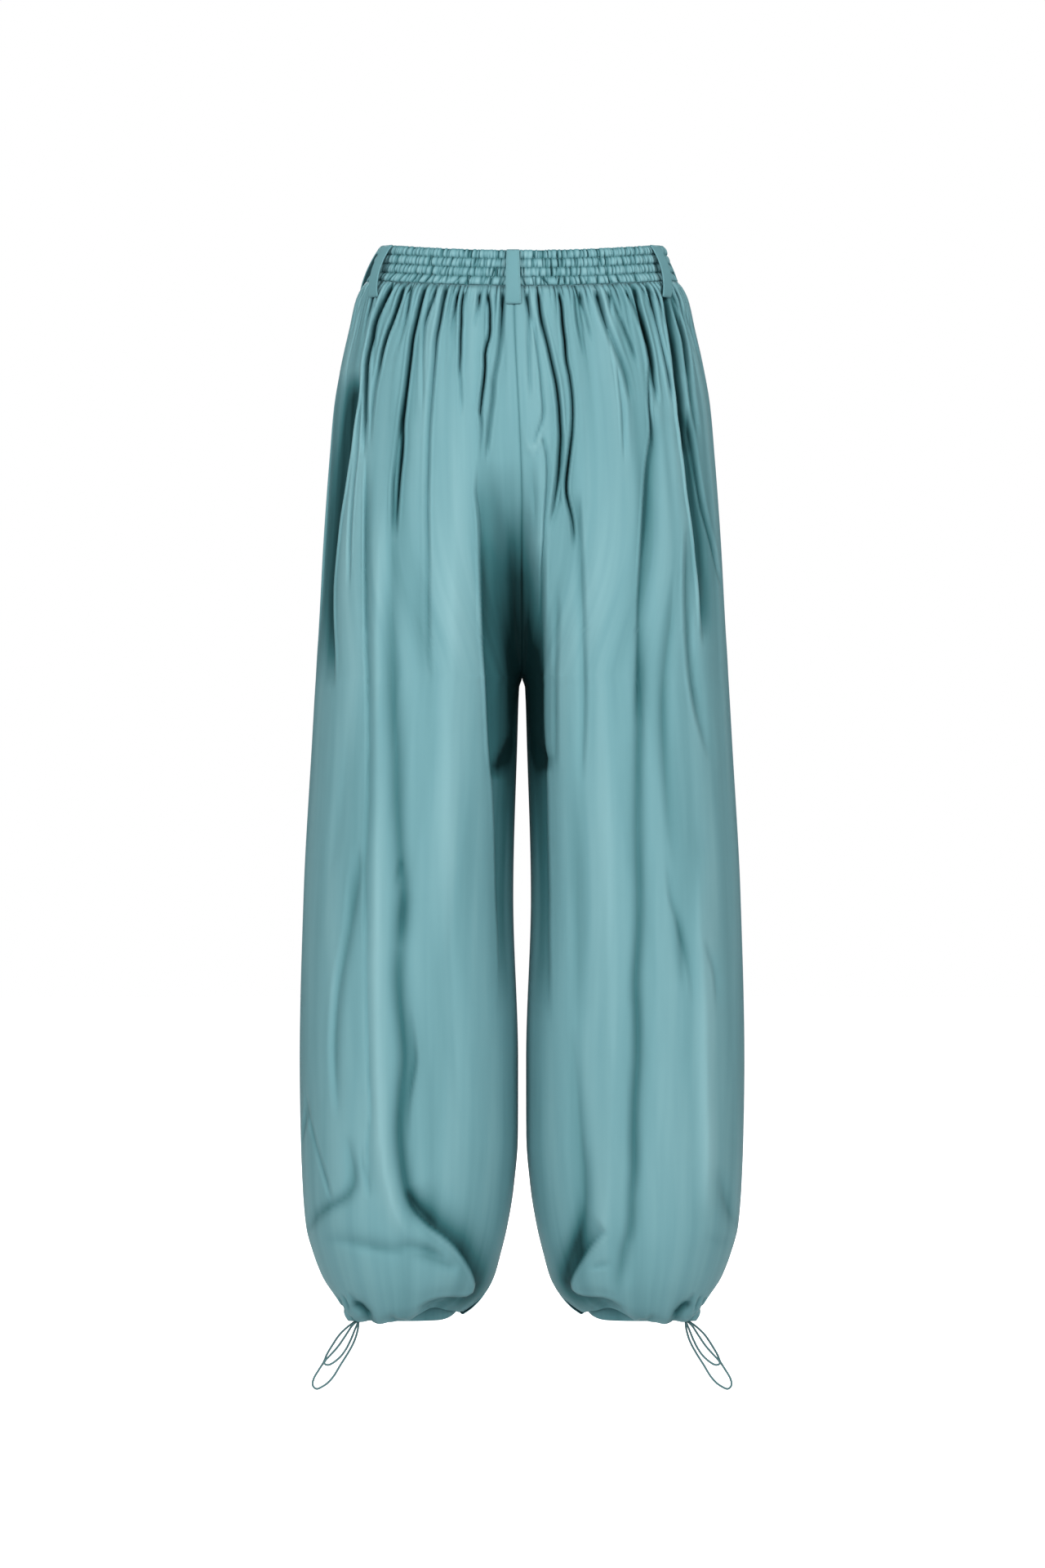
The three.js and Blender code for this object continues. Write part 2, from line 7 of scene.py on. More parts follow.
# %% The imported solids
import json
import bpy
import numpy as np
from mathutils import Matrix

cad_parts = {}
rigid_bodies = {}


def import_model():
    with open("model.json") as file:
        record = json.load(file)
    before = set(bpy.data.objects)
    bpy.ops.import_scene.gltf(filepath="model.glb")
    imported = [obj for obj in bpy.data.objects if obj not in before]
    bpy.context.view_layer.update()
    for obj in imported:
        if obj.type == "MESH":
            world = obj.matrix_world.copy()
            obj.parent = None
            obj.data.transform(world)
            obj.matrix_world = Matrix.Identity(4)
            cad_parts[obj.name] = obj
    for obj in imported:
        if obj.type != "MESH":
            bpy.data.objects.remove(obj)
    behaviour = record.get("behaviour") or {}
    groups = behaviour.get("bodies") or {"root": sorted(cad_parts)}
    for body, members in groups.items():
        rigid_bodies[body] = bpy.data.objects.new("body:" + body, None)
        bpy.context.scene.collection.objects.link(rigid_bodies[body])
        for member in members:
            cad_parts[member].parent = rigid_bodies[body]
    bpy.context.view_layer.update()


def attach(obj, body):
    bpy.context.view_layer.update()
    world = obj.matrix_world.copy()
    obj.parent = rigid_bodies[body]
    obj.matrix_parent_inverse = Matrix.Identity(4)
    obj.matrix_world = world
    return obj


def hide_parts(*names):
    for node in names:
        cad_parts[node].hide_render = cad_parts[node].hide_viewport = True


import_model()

# %% [markdown]
# The pants are seen from behind, at half their height, from far away. A long lens keeps
# both sides of the waist and of the hems nearly as wide as they are. The lens is worked
# out from the distance and the height that the picture has to take in.

# %% Camera
MM = 0.001
CAMERA_DISTANCE = 6.5
FRAME_HEIGHT = 1.488
FRAME_CENTRE = (0.0004, -0.4925)
SENSOR = 36

camera_data = bpy.data.cameras.new("camera")
camera_data.sensor_fit = "VERTICAL"
camera_data.sensor_height = SENSOR
camera_data.lens = SENSOR * CAMERA_DISTANCE / FRAME_HEIGHT
camera = bpy.data.objects.new("camera", camera_data)
camera.location = (FRAME_CENTRE[0], -CAMERA_DISTANCE, FRAME_CENTRE[1])
camera.rotation_euler = (np.pi / 2, 0, 0)
bpy.context.scene.collection.objects.link(camera)
bpy.context.scene.camera = camera
print("lens in mm:", round(camera_data.lens, 1))

# %% [markdown]
# Every piece goes into Blender the same way: an array of points and one table of faces or
# more. Where the cloth needs them it also has a UV map in metres of flat cloth and a value
# of painted shading at each point: painted shade in folds and hollows, and a painted
# highlight on crests.

# %% Arrays to meshes
def grid_faces(rows, columns, ring=False):
    """Corners of the faces of a grid whose points are numbered row by row. In a ring the
    last column is joined to the first."""
    down = np.arange(rows - 1)[:, None] * columns
    across = np.arange(columns if ring else columns - 1)[None, :]
    after = (across + 1) % columns
    return np.stack([down + across, down + after, down + columns + after,
                     down + columns + across], axis=-1).reshape(-1, 4)


def make_piece(name, points, faces, uv=None, painted_shading=None, flip=False):
    """A mesh object from points (n, 3) and one table of faces or a list of tables, each with
    its own number of corners. UV is per point or per face corner, and the painted shading
    per point."""
    turn = -1 if flip else 1
    tables = faces if isinstance(faces, list) else [faces]
    corners = np.concatenate([table[:, ::turn].ravel() for table in tables])
    sizes = np.concatenate([np.full(len(table), table.shape[1]) for table in tables])
    mesh = bpy.data.meshes.new(name)
    mesh.vertices.add(len(points))
    mesh.vertices.foreach_set("co", np.ascontiguousarray(points, np.float32).ravel())
    mesh.loops.add(len(corners))
    mesh.loops.foreach_set("vertex_index", corners.astype(np.int32))
    mesh.polygons.add(len(sizes))
    mesh.polygons.foreach_set("loop_start", (np.cumsum(sizes) - sizes).astype(np.int32))
    mesh.update(calc_edges=True)
    if uv is not None:
        places = uv[corners] if uv.ndim == 2 else uv[:, ::turn]
        layer = mesh.uv_layers.new(name="cloth")
        layer.uv.foreach_set("vector", np.ascontiguousarray(places, np.float32).ravel())
    # Painted shading per point: above 0 it darkens the cloth's colour as painted shade, below 0 it
    # pales it as a painted highlight.
    if painted_shading is not None:
        value = mesh.attributes.new("painted_shading", "FLOAT", "POINT")
        value.data.foreach_set("value", np.ascontiguousarray(painted_shading, np.float32).ravel())
    mesh.validate()
    mesh.shade_smooth()
    piece = bpy.data.objects.new(name, mesh)
    bpy.context.scene.collection.objects.link(piece)
    return piece


def grid_piece(name, grid, uv_grid=None, painted_shading=None, ring=False, closed=False, flip=False):
    """A mesh object from a grid of points (rows, columns, 3). In a ring the last column is
    joined to the first, and uv_grid has one more column than the points. In a closed
    section the last row is the first one again, and its points are made once."""
    rows, columns = grid.shape[:2]
    faces = grid_faces(rows, columns, ring)
    points = grid.reshape(-1, 3)
    uv = None
    if uv_grid is not None:
        wide = columns + 1 if ring else columns
        row, column = np.divmod(np.arange(len(faces)), columns if ring else columns - 1)
        first = row * wide + column
        corners = np.stack([first, first + 1, first + wide + 1, first + wide], axis=-1)
        uv = uv_grid.reshape(-1, 2)[corners]
    if closed:
        points = points[:-columns]
        faces = faces % len(points)
    return make_piece(name, points, faces, uv, painted_shading, flip)


def uv_of(across, down):
    """A grid of UV places from those of the columns and those of the rows."""
    return np.stack(np.broadcast_arrays(across[None, :], down[:, None]), axis=-1)


def capped(rings, path):
    """The rings of a tube with a ring of no size at either end of its path, which closes it."""
    point = np.zeros((1, *rings.shape[1:]))
    return np.concatenate([point + path[0], rings, point + path[-1]])


def run_along(points):
    """The length from the first point to each point of a line."""
    steps = np.linalg.norm(np.diff(points, axis=0), axis=1)
    return np.concatenate([[0], np.cumsum(steps)])


def unit(vectors):
    """Vectors shortened or stretched to length 1."""
    return vectors / np.maximum(np.linalg.norm(vectors, axis=-1, keepdims=True), 1e-12)


print("helpers ready")

# %% [markdown]
# A loop of thin cord hangs out of each ankle tunnel, a long one and a short one on either
# side. Each goes out and back in, so both its ends are in the tunnel. The routes are lists
# of points for the left ankle, and the right ankle has their mirror image.

# %% Cords
CORD_DIAMETER = 2 * MM
CORD_SIDES = 12
CORD_STEP = 1.2 * MM
CURVE_STEPS = 24  # short straight pieces between two given points of a curve
CORD_ROUTES = {
    "long": [
        (-156.9, -9.5, -998.5), (-158, -9.8, -1001.4), (-165, -11, -1006.5),
        (-173.3, -12, -1014.5), (-181.2, -13, -1026.3), (-185.3, -13.5, -1033.5),
        (-187.8, -13.5, -1039.7), (-192.3, -13.5, -1046.9), (-197, -13.5, -1054.8),
        (-198.4, -13.5, -1061.5), (-194.8, -13.5, -1065.3), (-189, -13.5, -1063),
        (-183.5, -14, -1059), (-178, -14.5, -1052.5), (-172, -15.5, -1042.5),
        (-164.5, -17, -1030.5), (-159, -18.5, -1020), (-155.8, -20, -1010),
        (-154.8, -20.5, -1003), (-154.8, -20.5, -998.1)],
    "short": [
        (-156.3, -13, -998.4), (-157.1, -13.3, -1001.4), (-161.5, -14.5, -1006),
        (-166.5, -16, -1013.6), (-174, -17, -1024.5), (-181.5, -17.3, -1033),
        (-186, -17.3, -1037.8), (-187.2, -17.3, -1041), (-183.5, -17.3, -1042.3),
        (-178.5, -17.3, -1040), (-172, -17.3, -1034.5), (-166.5, -17.3, -1027),
        (-162, -17.2, -1018), (-158.3, -17, -1008.9), (-155.7, -17, -1002.5),
        (-155.6, -17, -998.1)],
}


def curve_through(points, step):
    """Points at even steps along a Catmull-Rom curve through the given points: between two
    of them, a cubic whose slope at each is half the way from the one before to the next."""
    points = np.asarray(points, float)
    padded = np.vstack([2 * points[0] - points[1], points, 2 * points[-1] - points[-2]])
    t = np.linspace(0, 1, CURVE_STEPS, endpoint=False)[None, :, None]
    a, b, c, d = (padded[k:len(padded) - 3 + k, None, :] for k in range(4))
    fine = 0.5 * (2 * b + (c - a) * t + (2 * a - 5 * b + 4 * c - d) * t ** 2
                  + (3 * b - a - 3 * c + d) * t ** 3)
    fine = np.vstack([fine.reshape(-1, points.shape[1]), points[-1:]])
    run = run_along(fine)
    even = np.linspace(0, run[-1], int(np.ceil(run[-1] / step)) + 1)
    return np.stack([np.interp(even, run, column) for column in fine.T], axis=1), run[-1]


def cord_tube(name, route, side):
    """A round tube along a route: at each point a ring that lies square to the curve, with
    half the cord's diameter as its radius. Side is -1 for the left ankle, 1 for the right."""
    path, length = curve_through(np.array(route) * (-side, 1, 1) * MM, CORD_STEP)
    along = unit(np.gradient(path, axis=0))
    across = unit(np.cross(along, (0, 1, 0)))
    up = np.cross(across, along)
    angle = np.linspace(0, 2 * np.pi, CORD_SIDES, endpoint=False)[None, :, None]
    radius = CORD_DIAMETER / 2
    around = np.cos(angle) * across[:, None] + np.sin(angle) * up[:, None]
    rings = capped(path[:, None] + radius * around, path)
    run = np.pad(np.linspace(0, length, len(path)), 1, mode="edge")
    turn = np.linspace(0, np.pi * CORD_DIAMETER, CORD_SIDES + 1)
    return grid_piece(name, rings, uv_of(turn, run), ring=True), path, length


cords = {}
for ankle, side in (("left", -1), ("right", 1)):
    for kind, route in CORD_ROUTES.items():
        name = f"cord_{kind}_{ankle}"
        piece, path, length = cord_tube(f"{name}_braid", route, side)
        cords[name] = piece
        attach(piece, "root")
        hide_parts(name)
        print(name, "length in mm:", round(length / MM, 1))

# %% [markdown]
# ## The form of the cloth
# The body is a round at each height: squarer than an ellipse, and from the hips down it
# parts into two rounds, one for each leg. A table gives the half width at the side seam,
# half the gap between the legs, the depth behind and in front, and how much of the caught
# up hem a height shows. Between rows the values run on a smooth curve.

# %% Sizes of the body
CROTCH = -391 * MM
BACK_FORK, FRONT_FORK = -196 * MM, -226 * MM
LEG_TOP, LEG_ROUND = -150 * MM, -500 * MM
SEAM_PULL = 9
FULLNESS = 0.88
BACK_DIP, FRONT_DIP = 9.5 * MM, 5 * MM
DIP_END = -150 * MM
CENTRE_SHIFT, CENTRE_SHIFT_END = -7.5 * MM, -240 * MM
HEM_LIFT, HEM_LIFT_AT, HEM_LIFT_SPREAD = 13 * MM, 0.66, 0.13

# Height, outer, gap, back, front, lift: the lift is a share, the rest millimetres.
LEVELS = np.array([
    (-17.15, 147.5, 0.15, 95, 95, 0), (-23, 151.5, 0.15, 100, 99, 0),
    (-36, 157.5, 0.15, 104.5, 101.5, 0), (-60, 163, 0.15, 110, 104, 0),
    (-95, 171, 0.15, 116, 107, 0), (-135, 178, 0.15, 121, 109, 0),
    (-180, 182, 0.15, 124, 111, 0), (-225, 185.5, 0.15, 125, 112, 0),
    (-270, 188.5, 0.15, 125, 112, 0), (-345, 192.5, 0.15, 123, 112, 0),
    (-372, 194.2, 0.15, 122, 111, 0), (-391, 195.2, 0.5, 121, 111, 0),
    (-401, 195.8, 3.3, 121, 111, 0), (-450, 198.6, 5, 119, 110, 0),
    (-600, 206.8, 8.9, 117, 109, 0), (-755, 210.4, 4.3, 118, 111, 0),
    (-825, 209.5, 4.4, 117, 110, 0), (-875, 207.6, 8.4, 115, 108, 0),
    (-911, 204.5, 14.3, 112, 104, 0), (-937, 197.5, 20.5, 107, 99, 0),
    (-960, 188.5, 27, 100, 93, 0.1), (-978, 178.5, 37, 90, 85, 0.35),
    (-990, 169.5, 48, 78, 75, 0.75), (-995.5, 163, 56, 66, 65, 1),
]) * (MM, MM, MM, MM, MM, 1)
HEM = np.array((-986, 160.5, 60.5, 56.5, 56.5, 0.1)) * (MM, MM, MM, MM, MM, 1)
TOP, BOTTOM = LEVELS[0, 0], LEVELS[-1, 0]


def run_smoothly(knots, values, at):
    """Values between the rows of a table whose knots rise. Each stretch is a cubic. Its
    slope at a row is the harmonic mean of the slopes beside it, or none where those have
    different signs, so the curve never runs past a row's value."""
    step = np.diff(knots)[:, None]
    slope = np.diff(values, axis=0) / step
    both = slope[:-1] * slope[1:]
    inner = np.where(both > 0, 2 * both / np.where(both > 0, slope[:-1] + slope[1:], 1), 0)
    ends = np.vstack([slope[:1], inner, slope[-1:]])
    cell = np.clip(np.searchsorted(knots, at, side="right") - 1, 0, len(knots) - 2)
    gap = step[cell]
    t = (at - knots[cell])[:, None] / gap
    return ((1 + 2 * t) * (1 - t) ** 2 * values[cell] + t * (1 - t) ** 2 * gap * ends[cell]
            + t ** 2 * (3 - 2 * t) * values[cell + 1] - t ** 2 * (1 - t) * gap * ends[cell + 1])


def sizes_at(heights):
    """Outer, gap, back, front and lift at each height, one row a height."""
    return run_smoothly(-LEVELS[:, 0], LEVELS[:, 1:], -np.clip(heights, BOTTOM, TOP))


def smoothstep(value, low, high):
    """0 up to low, 1 from high, and 3t^2 - 2t^3 between."""
    t = np.clip((value - low) / (high - low), 0, 1)
    return t * t * (3 - 2 * t)


def power(value):
    """The value to the power of the fullness, with its sign kept."""
    return np.sign(value) * np.abs(value) ** FULLNESS


def mix(one, other, share):
    """A value that goes from one to the other as share goes from 0 to 1."""
    return one + (other - one) * share


def dip(face, share):
    """How far the waist sinks: most at the centre, by the squared sine."""
    depth = BACK_DIP if face == "back" else FRONT_DIP
    return depth * np.sin(share * np.pi / 2) ** 2


def smooth_body(heights, sizes, face, share):
    """Points of the body without folds. Share 0 is the side seam, 1 the centre seam or the
    inseam. The body's quarter round turns into the leg's half round, slowly at the hip and
    along a quarter ellipse at the centre seam."""
    outer, gap, back, front, lift = (sizes[:, k:k + 1] for k in range(5))
    z = heights[:, None]
    depth = -back if face == "back" else front
    fork = BACK_FORK if face == "back" else FRONT_FORK
    part = np.clip((fork - z) / (fork - CROTCH), 0, 1)
    seam = 1 - np.sqrt(1 - part ** 2)
    leg = mix(smoothstep(-z, -LEG_TOP, -LEG_ROUND), seam, np.minimum(share, 1) ** SEAM_PULL)
    quarter, half = share * np.pi / 2, np.minimum(share, 1) * np.pi
    middle, reach = (outer + gap) / 2, (outer - gap) / 2
    x = mix(outer * power(np.cos(quarter)), middle + reach * power(np.cos(half)), leg)
    y = mix(depth * power(np.sin(quarter)), depth * power(np.maximum(np.sin(half), 0)), leg)
    caught = np.exp(-((share - HEM_LIFT_AT) / HEM_LIFT_SPREAD) ** 2) if face == "back" else 0
    z = z - dip(face, share) * smoothstep(z, DIP_END, TOP) + HEM_LIFT * caught * lift
    return np.stack(np.broadcast_arrays(x, y, z), axis=-1)


def centre_seam(z):
    """Sideways place of the centre seams, which lie a little to the wearer's left."""
    return CENTRE_SHIFT * smoothstep(z, CENTRE_SHIFT_END, TOP)


print("levels of the body:", len(LEVELS))

# %% [markdown]
# ## Folds
# Each fold is a line on the body with a depth at every point, and a half width on either
# side. A small half width makes a sharp edge and a large one a soft slope, so the same rule
# gives gathers, creases, ridges (a depth below 0) and the hanging lips above the hems.
# Places are millimetres from the middle and in height.

# %% Folds of the back
# Each row has the half widths on either side and the line. The line has points of three
# numbers: distance from the middle, height and depth.
FOLDS = {}
FOLDS["back_left"] = [
    (1.8, 24, [(153.9, -102, 0), (154.6, -115, 8.6), (156.1, -128, 13.4), (158.4, -143, 15.1),
        (160.8, -159, 15.9), (163.1, -178, 17.6), (166.2, -197, 18.3), (169.3, -218, 18.3),
        (173.2, -241, 18.3), (175.5, -262, 17.6), (177.8, -285, 16.6), (179.4, -308, 15.1),
        (179.2, -339, 12.6), (177.5, -370, 8.6), (176.5, -404, 0)]),
    (1, 2, [(150.7, -113, 0), (152.1, -140, 3.2), (154.4, -178, 3.5), (158.2, -217, 3.5),
        (160.4, -255, 4), (161.1, -286, 2.6), (161.8, -309, 0)]),
    (2.1, 2.1, [(123.2, -21, 15.1), (127.8, -30, 13.4), (133.1, -41, 15.1), (137, -50, 15.1),
        (140, -60, 15.1), (141.5, -71, 14.3), (143.8, -81, 13.4), (146.1, -94, 12.6),
        (146.8, -109, 11.1), (147.5, -129, 9.4), (147.4, -148, 7.8), (148.1, -167, 4),
        (148.1, -186, 0)]),
    (6, 1.1, [(146.5, -186, 0), (147.2, -233, 4.3), (147, -294, 4.8), (146.1, -355, 4.8),
        (144.5, -393, 5.3), (143.6, -447, 4.1), (144.4, -515, 3.3), (146.7, -561, 3.1),
        (146.6, -607, 2.9), (145.9, -660, 2.5), (145.1, -713, 2.9), (143.6, -767, 3.3),
        (142, -797, 3.3), (144.3, -828, 2.9), (143.6, -858, 2.5), (142.9, -881, 0)]),
    (1.6, 1.9, [(111.5, -22, 11.6), (114.5, -32, 13.4), (118.3, -44, 14.3), (122.1, -55, 13.4),
        (126, -65, 12.6), (129.8, -78, 11.1), (132.1, -88, 9.4), (134.3, -102, 6.2),
        (138.1, -121, 3.8), (141.2, -148, 2.6), (143.4, -175, 0)]),
    (1.4, 1.9, [(103.8, -22, 11.6), (105.2, -31, 7.8), (106.7, -41, 6.6), (109, -53, 4.7),
        (112.8, -68, 3.2), (117.3, -87, 0)]),
    (1.4, 2.1, [(91.4, -23, 11.6), (93.7, -31, 11), (95.9, -40, 11.6), (98.2, -51, 11.6),
        (100.5, -61, 11.6), (102.7, -72, 11.6), (104.2, -88, 11.6), (105.7, -101, 11.6),
        (107.2, -115, 11.6), (108.7, -128, 11.6), (110.2, -142, 11.6), (111.8, -157, 11.6),
        (111.7, -171, 10.3), (112.5, -184, 11.8), (114, -199, 10.1), (115.5, -218, 8.6),
        (117, -241, 6.1), (118.5, -264, 0)]),
    (1.6, 1.6, [(111, -126, 0), (114.1, -153, 4.3), (117.1, -184, 4.8), (120.1, -210, 5.3),
        (120.9, -237, 5.3), (121.6, -264, 0)]),
    (1.4, 1.8, [(80.6, -23, 11.6), (82.9, -32, 9.1), (86.7, -41, 7.8), (89.7, -50, 6),
        (92, -61, 4.1), (92.7, -88, 2), (92.6, -119, 2), (93.4, -146, 0)]),
    (5, 5, [(96.6, -53, 0), (97.3, -80, 2.1), (98.8, -111, 2.1), (100.3, -142, 1.6),
        (101, -165, 0)]),
    (1.4, 2.4, [(70.7, -23, 11.6), (72.9, -33, 9.1), (75.2, -46, 9.7), (77.4, -59, 9.1),
        (79.7, -71, 7.8), (80.5, -85, 6), (81.9, -104, 5.1), (83.4, -123, 4.6),
        (84.9, -142, 4.3), (86.4, -165, 4.1), (87.2, -196, 4.1), (87.9, -234, 4.1),
        (87.1, -279, 4.1), (87.1, -325, 4.1), (86.4, -363, 3.7), (84.1, -401, 0)]),
    (1.4, 1.6, [(60.7, -26, 11.6), (62.2, -35, 6.1), (63.7, -45, 4.1), (66, -62, 2.5),
        (66.7, -77, 0)]),
    (1.4, 1.4, [(55.4, -26, 12.8), (56.8, -39, 10.3), (56.8, -54, 10.3), (57.5, -69, 9.1),
        (57.5, -85, 7.8), (58.3, -102, 4.7), (57.5, -113, 2.5), (56.7, -131, 2),
        (56.7, -149, 0)]),
    (1.6, 1.6, [(40.1, -27, 11.6), (40.8, -37, 5.3), (43.1, -48, 3.1), (45.4, -60, 0)]),
    (1.5, 1.5, [(31.7, -27, 12.8), (30.1, -38, 11.6), (30.1, -53, 11.6), (30.1, -64, 11.6),
        (31.6, -73, 11.6), (34.7, -84, 11.6), (34.6, -98, 11.6), (35.4, -112, 11.6),
        (36.9, -125, 11), (38.4, -139, 9.1), (39.2, -149, 6), (37.6, -155, 3.1),
        (37.6, -173, 2.5), (39.2, -196, 0)]),
    (2, 2, [(17.9, -28, 11.6), (18.7, -40, 9.1), (19.4, -54, 7.2), (20.2, -70, 6),
        (21.7, -87, 5.3), (24, -101, 5.3), (26.3, -114, 5.3), (27, -127, 5.3),
        (28.5, -143, 5.3), (30.8, -162, 4.8), (32.3, -177, 4.1), (34.6, -192, 0)]),
    (1.6, 1.6, [(10.3, -29, 0), (9.5, -49, 0)]),
    (1.2, 1.2, [(144.5, -24, 2.6), (149, -38, 2.6), (152.8, -55, 2.1), (156.6, -77, 0)]),
    (1.2, 1.2, [(138.8, -26, 5.3), (142.6, -41, 5.3), (146.4, -54, 3.2), (149.4, -71, 0)]),
    (1.2, 1.2, [(148.6, -24, 3.2), (153.9, -41, 3.2), (158.5, -59, 2.6), (162.2, -83, 0)]),
    (1.2, 1.6, [(133.1, -48, 0), (136.9, -63, 2.6), (139.1, -79, 2.6), (141.4, -98, 0)]),
    (26, 1.8, [(40.7, -188, 0), (41.4, -207, 2.5), (42.2, -221, 4.7), (39.9, -238, 6),
        (38.4, -260, 7.2), (37.7, -287, 9.7), (36.2, -325, 11), (34.7, -363, 11),
        (32.4, -397, 10.3), (30.9, -431, 9.7), (29.4, -462, 8.5), (27.2, -485, 6.6),
        (25.7, -512, 6), (24.9, -538, 5.3), (24.1, -569, 5.3), (23.4, -600, 5.3),
        (21.9, -631, 4.7), (21.1, -665, 3.1), (21.1, -707, 0)]),
    (10, 4, [(8.1, -446, 0), (13.4, -458, 4.7), (19.5, -471, 6.6), (25.6, -479, 5.3),
        (27.9, -486, 0)]),
    (7, 7, [(119.3, -233, 0), (121.6, -279, 2.6), (122.3, -325, 4.7), (121.4, -371, 5.5),
        (119.9, -416, 6.2), (117.6, -462, 6.6), (116.8, -508, 6.6), (113.8, -553, 6.2),
        (110, -591, 7.2), (111.5, -618, 5.5), (114.5, -645, 0)]),
    (8, 6, [(110, -588, 0), (111.5, -618, 3.9), (115.3, -664, 7.2), (114.5, -694, 7.8),
        (111.5, -721, 8.5), (109.2, -751, 8.8), (112.2, -782, 8.8), (114.5, -812, 9.1),
        (113.8, -835, 9.1), (110.8, -858, 9.1), (106.2, -877, 9.1), (99.4, -891, 7.8),
        (89.5, -902, 3.9), (80.4, -910, 0)]),
    (1.8, 3.3, [(103.9, -702, 0), (100.1, -736, 3.1), (99.3, -754, 4.7), (103.1, -774, 4.1),
        (106.2, -797, 2), (106.9, -827, 0)]),
    (20, 2.4, [(109.2, -869, 0), (103.9, -882, 5.3), (97.1, -892, 8.5), (88.7, -901, 10.3),
        (79.6, -909, 11.6), (70.5, -916, 11.6), (63, -923, 11.6), (56.2, -931, 11.6),
        (50.1, -940, 11.6), (44.8, -951, 11.6), (41.8, -961, 11.6), (41.9, -970, 11),
        (47.3, -977, 10.3), (56.4, -980, 9.1), (67, -981, 7.8), (79.2, -982, 6.6),
        (89.9, -985, 5.3), (99.2, -991, 0)]),
    (8, 9, [(134.7, -233, 0), (134.6, -294, -3.4), (135.3, -371, -4.7), (134.4, -485, -3.8),
        (135.1, -599, -4.1), (135.1, -713, -4.3), (133.6, -789, -4.6), (129, -843, -4.6),
        (121.4, -881, -4.1), (112.3, -904, -2.7), (102.5, -919, 0)]),
    (5, 3.3, [(151.3, -550, 0), (156.7, -584, 3.3), (160.5, -622, 4.1), (165.2, -649, 4.3),
        (169.8, -672, 4.3), (173.7, -706, 4.6), (175.3, -745, 4.6), (173.7, -779, 2.5),
        (170.6, -809, 0)]),
    (3.3, 2.2, [(153.6, -553, 0), (151.3, -569, 2), (155.1, -599, 2), (159, -626, 0)]),
    (2.2, 1.7, [(204.3, -777, 0), (200.1, -804, 2.5), (195.2, -826, 3.3), (189.6, -845, 3.3),
        (184.8, -860, 3.3), (180.9, -872, 2.5), (179.3, -884, 0)]),
    (5, 6, [(164.4, -817, 0), (159.8, -839, 3.1), (156.7, -857, 5.2), (159.8, -872, 5.9),
        (169.1, -882, 6.5), (180.1, -888, 6.5), (190.5, -896, 5.9), (198, -906, 4.5),
        (201.1, -919, 0)]),
    (2.2, 2.2, [(147.4, -824, 0), (149, -843, 1.6), (145.1, -862, 2), (142.9, -881, 0)]),
    (9, 4, [(187.5, -921, 0), (175.6, -920, 2.5), (159.9, -921, 3.3), (146.1, -924, 4.1),
        (132.3, -927, 4.1), (118.5, -929, 3.3), (106.3, -932, 0)]),
    (4, 3.3, [(121.5, -925, 0), (106.3, -924, 2.9), (94.1, -925, 3.7), (82, -930, 3.3),
        (69.8, -936, 0)]),
    (8, 4, [(107.8, -930, 0), (91.1, -934, 4.1), (78.9, -939, 4.1), (68.3, -944, 3.7),
        (59.2, -948, 0)]),
    (2.8, 2.2, [(110.7, -561, 0), (114.5, -569, 2.5), (116.8, -580, 2), (118.3, -591, 0)]),
    (3.3, 2.2, [(202.6, -789, 0), (203.5, -804, 4.1), (206.1, -820, 4.1), (207.2, -836, 0)]),
    (4.5, 6, [(156.8, -977, 0), (153, -982, 9.1), (148.4, -986, 13), (144.6, -990, 13),
        (141.7, -995, 10.4)]),
    (2.2, 2.9, [(125.2, -990, 0), (120.7, -993, 6.6), (115.5, -996, 7.8), (111.6, -999, 5.3)]),
    (1.5, 1.5, [(174.4, -974, 0), (170.6, -981, 5.3), (167.8, -992, 6.6), (163.9, -1001, 5.3)]),
    (1.3, 1.5, [(168.6, -972, 0), (164.8, -980, 5.3), (161.2, -989, 6.6), (158.5, -999, 5.3)]),
    (1.3, 1.5, [(178.6, -979, 0), (175.5, -986, 5.3), (172.4, -993, 5.3), (169.3, -999, 4.1)]),
    (4, 2.2, [(162.1, -968, 0), (159.1, -976, 4.1), (156.2, -983, 5.3), (154.7, -988, 0)]),
    (12, 12, [(55.9, -127, 0), (59, -188, -2), (63.5, -295, -2.7), (66.6, -416, -2.7),
        (69.7, -553, -2), (72.7, -660, 0)]),
    (8, 8, [(66.7, -569, 0), (66.7, -622, 1.6), (66.7, -698, 1.8), (60.6, -774, 1.3),
        (56, -828, 0)]),
    (6, 6, [(96.3, -249, 0), (94, -310, 1.8), (94, -371, 1.6), (92.4, -432, 0)]),
    (10, 10, [(161.5, -416, 0), (164.5, -485, 2), (175.4, -554, 2), (184.8, -615, 0)]),
]
